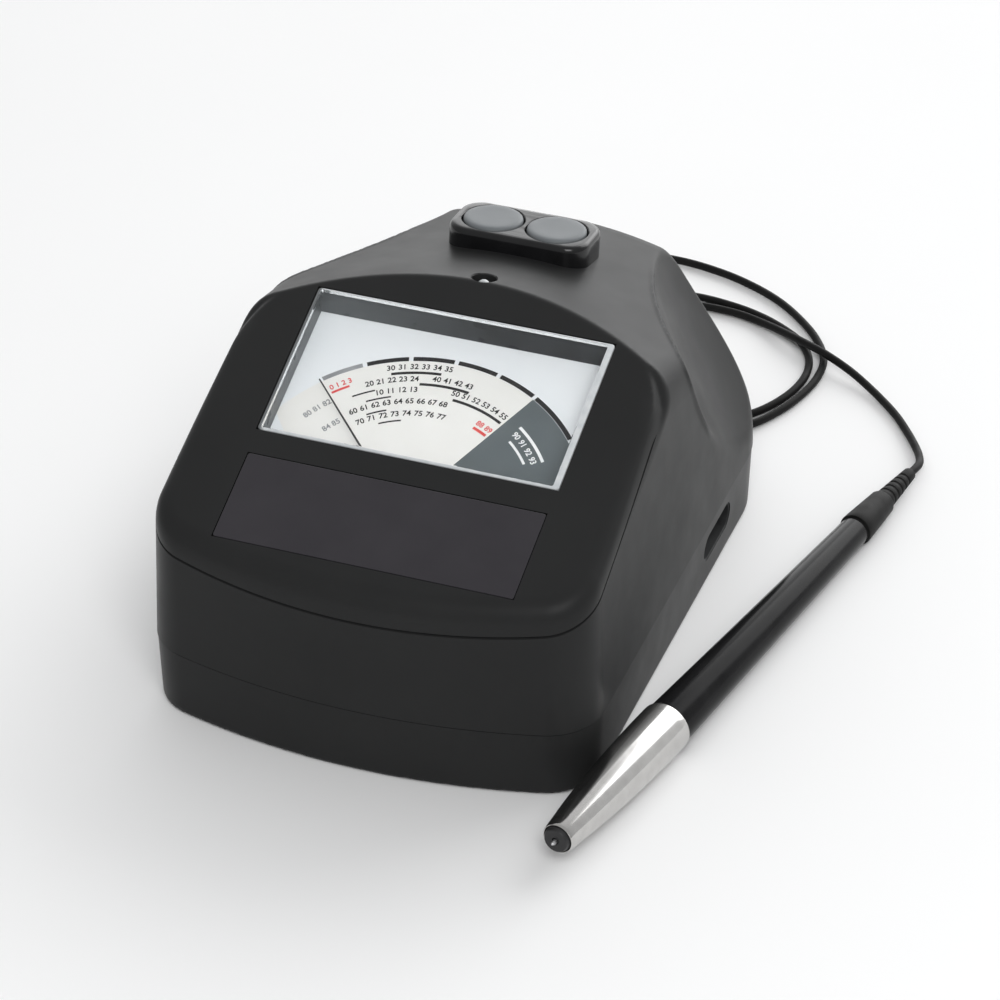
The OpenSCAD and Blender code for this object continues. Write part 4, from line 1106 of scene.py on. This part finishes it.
# The key's gaps at its ends and sides, the slope of its vee, its easing, and its back from the pin's axis
ROCKER_END_GAP = 0.7
ROCKER_SIDE_GAP = 0.5
ROCKER_VEE = 0.03
ROCKER_EASE = 0.35
ROCKER_UNDER = -1.6
ROCKER_LEAST_H = 0.05
PIN_BORE_R = 0.9
rocker_half = ROCKER_LEN / 2 - ROCKER_WALL - ROCKER_END_GAP
rocker_round = ROCKER_H / 2 - ROCKER_WALL - ROCKER_SIDE_GAP
rocker_rings = []
for y in rocker_half * np.sin(np.radians(np.linspace(-90, 90, 61))):
    into_end = max(abs(y) - rocker_half + rocker_round, 0)
    half_h = max(math.sqrt(max(rocker_round ** 2 - into_end ** 2, 0)), ROCKER_LEAST_H)
    ease = min(ROCKER_EASE, half_h / 2)
    top = ROCKER_FACE - ROCKER_AXIS_X - ROCKER_VEE * abs(y)
    half_ring = [(half_h - ease, top), (half_h, top - ease), (half_h, ROCKER_UNDER)]
    other_half = [(-across, level) for across, level in reversed(half_ring)]
    rocker_rings.append(np.array([(across, y, level) for across, level in other_half + half_ring]))
PIN = at(ROCKER_AXIS_X, ROCKER_Y, ROCKER_Z)
rocker_key = piece("rocker_key", loft(rocker_rings), PIN @ turn(ROCKER_REST, "Z") @ SIDEWAYS,
                   "dark_plastic", "rocker", "dark_plastic", "rocker")
cut(rocker_key, [(turned([(PIN_BORE_R, -5), (PIN_BORE_R, 5)], 24), PIN)])


# Gland in the rear wall

GLAND_LINE = softened([
    (1.05, -5, 0), (3.2, -5, 0), (3.2, 0.1, 0), (3.9, 0.1, 0.1), (3.9, 2.1, 0.4), (3.25, 2.1, 0.2),
    (2.95, 3.5, 0.1), (2.5, 3.6, 0.1), (2.45, 4.4, 0.1), (2.75, 4.5, 0.1), (2.6, 5.5, 0.1), (2.25, 5.6, 0.1),
    (2.15, 6.4, 0.1), (2.45, 6.5, 0.1), (2.2, 7.5, 0.1), (1.95, 7.6, 0.1), (1.85, 8.4, 0.1), (2.1, 8.5, 0.1),
    (1.65, 12, 0.25), (1.05, 12, 0)], 3)
piece("gland_boot", turned_hollow(GLAND_LINE, 48), GLAND, "rubber_black", "base", "rubber_black",
      "cord_gland")


# Probe

CONE_CURVE = 2.2


def nose_radius(share):
    """The cone's radius at a share of its length from the barrel."""
    return PROBE_R - (PROBE_R - CONE_TIP_R) * share ** CONE_CURVE


# The cone's end, the bottom of the insert's seat, and how deep the barrel's spigot goes in
NOSE = -CONE_LEN
SEAT = NOSE + 6
SPIGOT = -9
cone_line = [(3.2, SEAT), (3.2, NOSE + 0.25), (3.32, NOSE + 0.06), (3.45, NOSE), (3.55, NOSE + 0.05),
             (3.68, NOSE + 0.3)]
cone_line += [(nose_radius(share), -CONE_LEN * share) for share in np.linspace(0.985, 0.012, 26)]
cone_line += [(PROBE_R - 0.06, -0.25), (PROBE_R - 0.22, -0.05), (PROBE_R - 0.45, 0), (4.25, 0),
              (4.25, SPIGOT), (2, SPIGOT), (2, SEAT)]
piece("nose_cone", turned_hollow(cone_line, 96), PROBE, "chrome", "probe", "chrome", "probe_cone")

barrel_line = softened([
    (2.3, SPIGOT, 0), (4.15, SPIGOT, 0), (4.15, 0.05, 0), (BARREL_R, 0.05, 0.25),
    (BARREL_END_R, BARREL_LEN, 0.3), (2.3, BARREL_LEN, 0)], 4)
piece("probe_handle", turned_hollow(barrel_line, 96), PROBE, "barrel_black", "probe", "gloss_black",
      "probe_barrel")

insert_line = softened([
    (0.8, NOSE - 1, 0.08), (2.75, NOSE - 1, 0.2), (3.12, NOSE, 0.2), (3.12, SEAT, 0), (0.8, SEAT, 0)], 4)
piece("nose_plug", turned_hollow(insert_line, 64), PROBE, "dark_plastic", "probe", "gloss_black",
      "probe_insert")

tip_line = [(0, NOSE - 2.4), (0.22, NOSE - 2.36), (0.34, NOSE - 2.2), (0.6, NOSE - 1.6), (0.6, NOSE + 6.05),
            (1.5, NOSE + 6.05), (1.5, NOSE + 8), (0.6, NOSE + 8), (0.6, NOSE + 22), (0, NOSE + 22)]
piece("sensing_tip", turned(tip_line, 32), PROBE, "steel", "probe_tip", "copper", "probe_tip")

SLEEVE_AT = BARREL_LEN
sleeve_corners = [
    (1.2, SLEEVE_AT - 6, 0), (2.25, SLEEVE_AT - 6, 0), (2.25, SLEEVE_AT + 0.05, 0),
    (3.5, SLEEVE_AT + 0.05, 0.1), (3.5, SLEEVE_AT + 0.5, 0.1), (4.1, SLEEVE_AT + 0.55, 0.3),
    (4.0, SLEEVE_AT + 3, 0.5), (3.2, SLEEVE_AT + SLEEVE_LEN, 0.6), (1.2, SLEEVE_AT + SLEEVE_LEN, 0)]
sleeve = piece("tail_grip", turned_hollow(softened(sleeve_corners, 2), 64), PROBE, "rubber_black", "probe",
               "dark_plastic", "tail_sleeve")

RELIEF_AT = SLEEVE_AT + SLEEVE_LEN
RELIEF_R = 2.65
RELIEF_TAPER = 1.05
RELIEF_BORE_R = 1.15
# The relief's grooves: how many, where the first starts, their pitch and depth
GROOVES = 5
GROOVE_FIRST = 1.6
GROOVE_PITCH = 2.2
GROOVE_IN = 0.25
relief_corners = [(RELIEF_BORE_R, RELIEF_AT + 0.05, 0), (RELIEF_R, RELIEF_AT + 0.05, 0.15)]
for ring in range(GROOVES):
    start = RELIEF_AT + GROOVE_FIRST + GROOVE_PITCH * ring
    radius = RELIEF_R - RELIEF_TAPER * (start - RELIEF_AT) / RELIEF_LEN
    deep = radius - GROOVE_IN
    relief_corners += [(radius, start, 0.1), (deep, start + 0.1, 0.05), (deep, start + 0.7, 0.05),
                       (radius - 0.06, start + 0.8, 0.1)]
relief_corners += [(1.6, RELIEF_AT + RELIEF_LEN, 0.2), (RELIEF_BORE_R, RELIEF_AT + RELIEF_LEN, 0)]
relief = piece("cord_boot", turned_hollow(softened(relief_corners, 2), 48), PROBE, "rubber_black", "probe",
               "rubber_black", "probe_relief")


# Stage and light

# In metres, a little below the feet
FLOOR_HALF = 3.0
FLOOR_Z = -0.0002
floor_corners = [(sx * FLOOR_HALF, sy * FLOOR_HALF, FLOOR_Z) for sx, sy in QUARTERS]
floor_mesh = bpy.data.meshes.new("floor")
floor_mesh.from_pydata(floor_corners, [], [(0, 1, 2, 3)])
floor = new_object("floor", floor_mesh)

floor_finish = Finish("floor_white", (0.95, 0.95, 0.95), 0.8, specular=0.0)
floor_finish.mottled(400, (0.91, 0.91, 0.91))
floor_mesh.materials.append(floor_finish.material)

# Brightness of the surroundings from the front to the back, each at a share of that way
SHADES = ((0.1, 0.47), (0.6, 0.5), (0.84, 0.85), (0.97, 2.8))
TINT = (1, 1.005, 1.01)
world = bpy.data.worlds.new("studio")
scene.world = world
world.use_nodes = True
around = world.node_tree
apart = add_node(around, "SeparateXYZ", {"Vector": add_node(around, "TexCoord").outputs["Generated"]})
way = add_node(around, "MapRange", {"From Min": -1.0, "Value": apart.outputs["Y"]})
shade = add_node(around, "ValToRGB", {"Fac": way.outputs["Result"]})
stops = shade.color_ramp.elements
while len(stops) < len(SHADES):
    stops.new(0.5)
for stop, (position, level) in zip(stops, SHADES):
    stop.position = position
    stop.color = (*(level * part for part in TINT), 1)
set_inputs(around, around.nodes["Background"], {"Strength": 1.0, "Color": shade.outputs["Color"]})


def softbox(name, place, target, size, power):
    lamp = bpy.data.lights.new(name, "AREA")
    lamp.shape = "RECTANGLE"
    lamp.size, lamp.size_y = size
    lamp.energy = power
    made = new_object(name, lamp)
    made.location = place
    made.rotation_euler = (Vector(target) - Vector(place)).to_track_quat("-Z", "Y").to_euler()


softbox("back_light", (0.5, 1.1, 0.75), (0, 0.02, 0.04), (1.2, 0.9), 7)
softbox("front_light", (0.4, -0.8, 1.0), (0, -0.02, 0.05), (0.6, 0.6), 6)
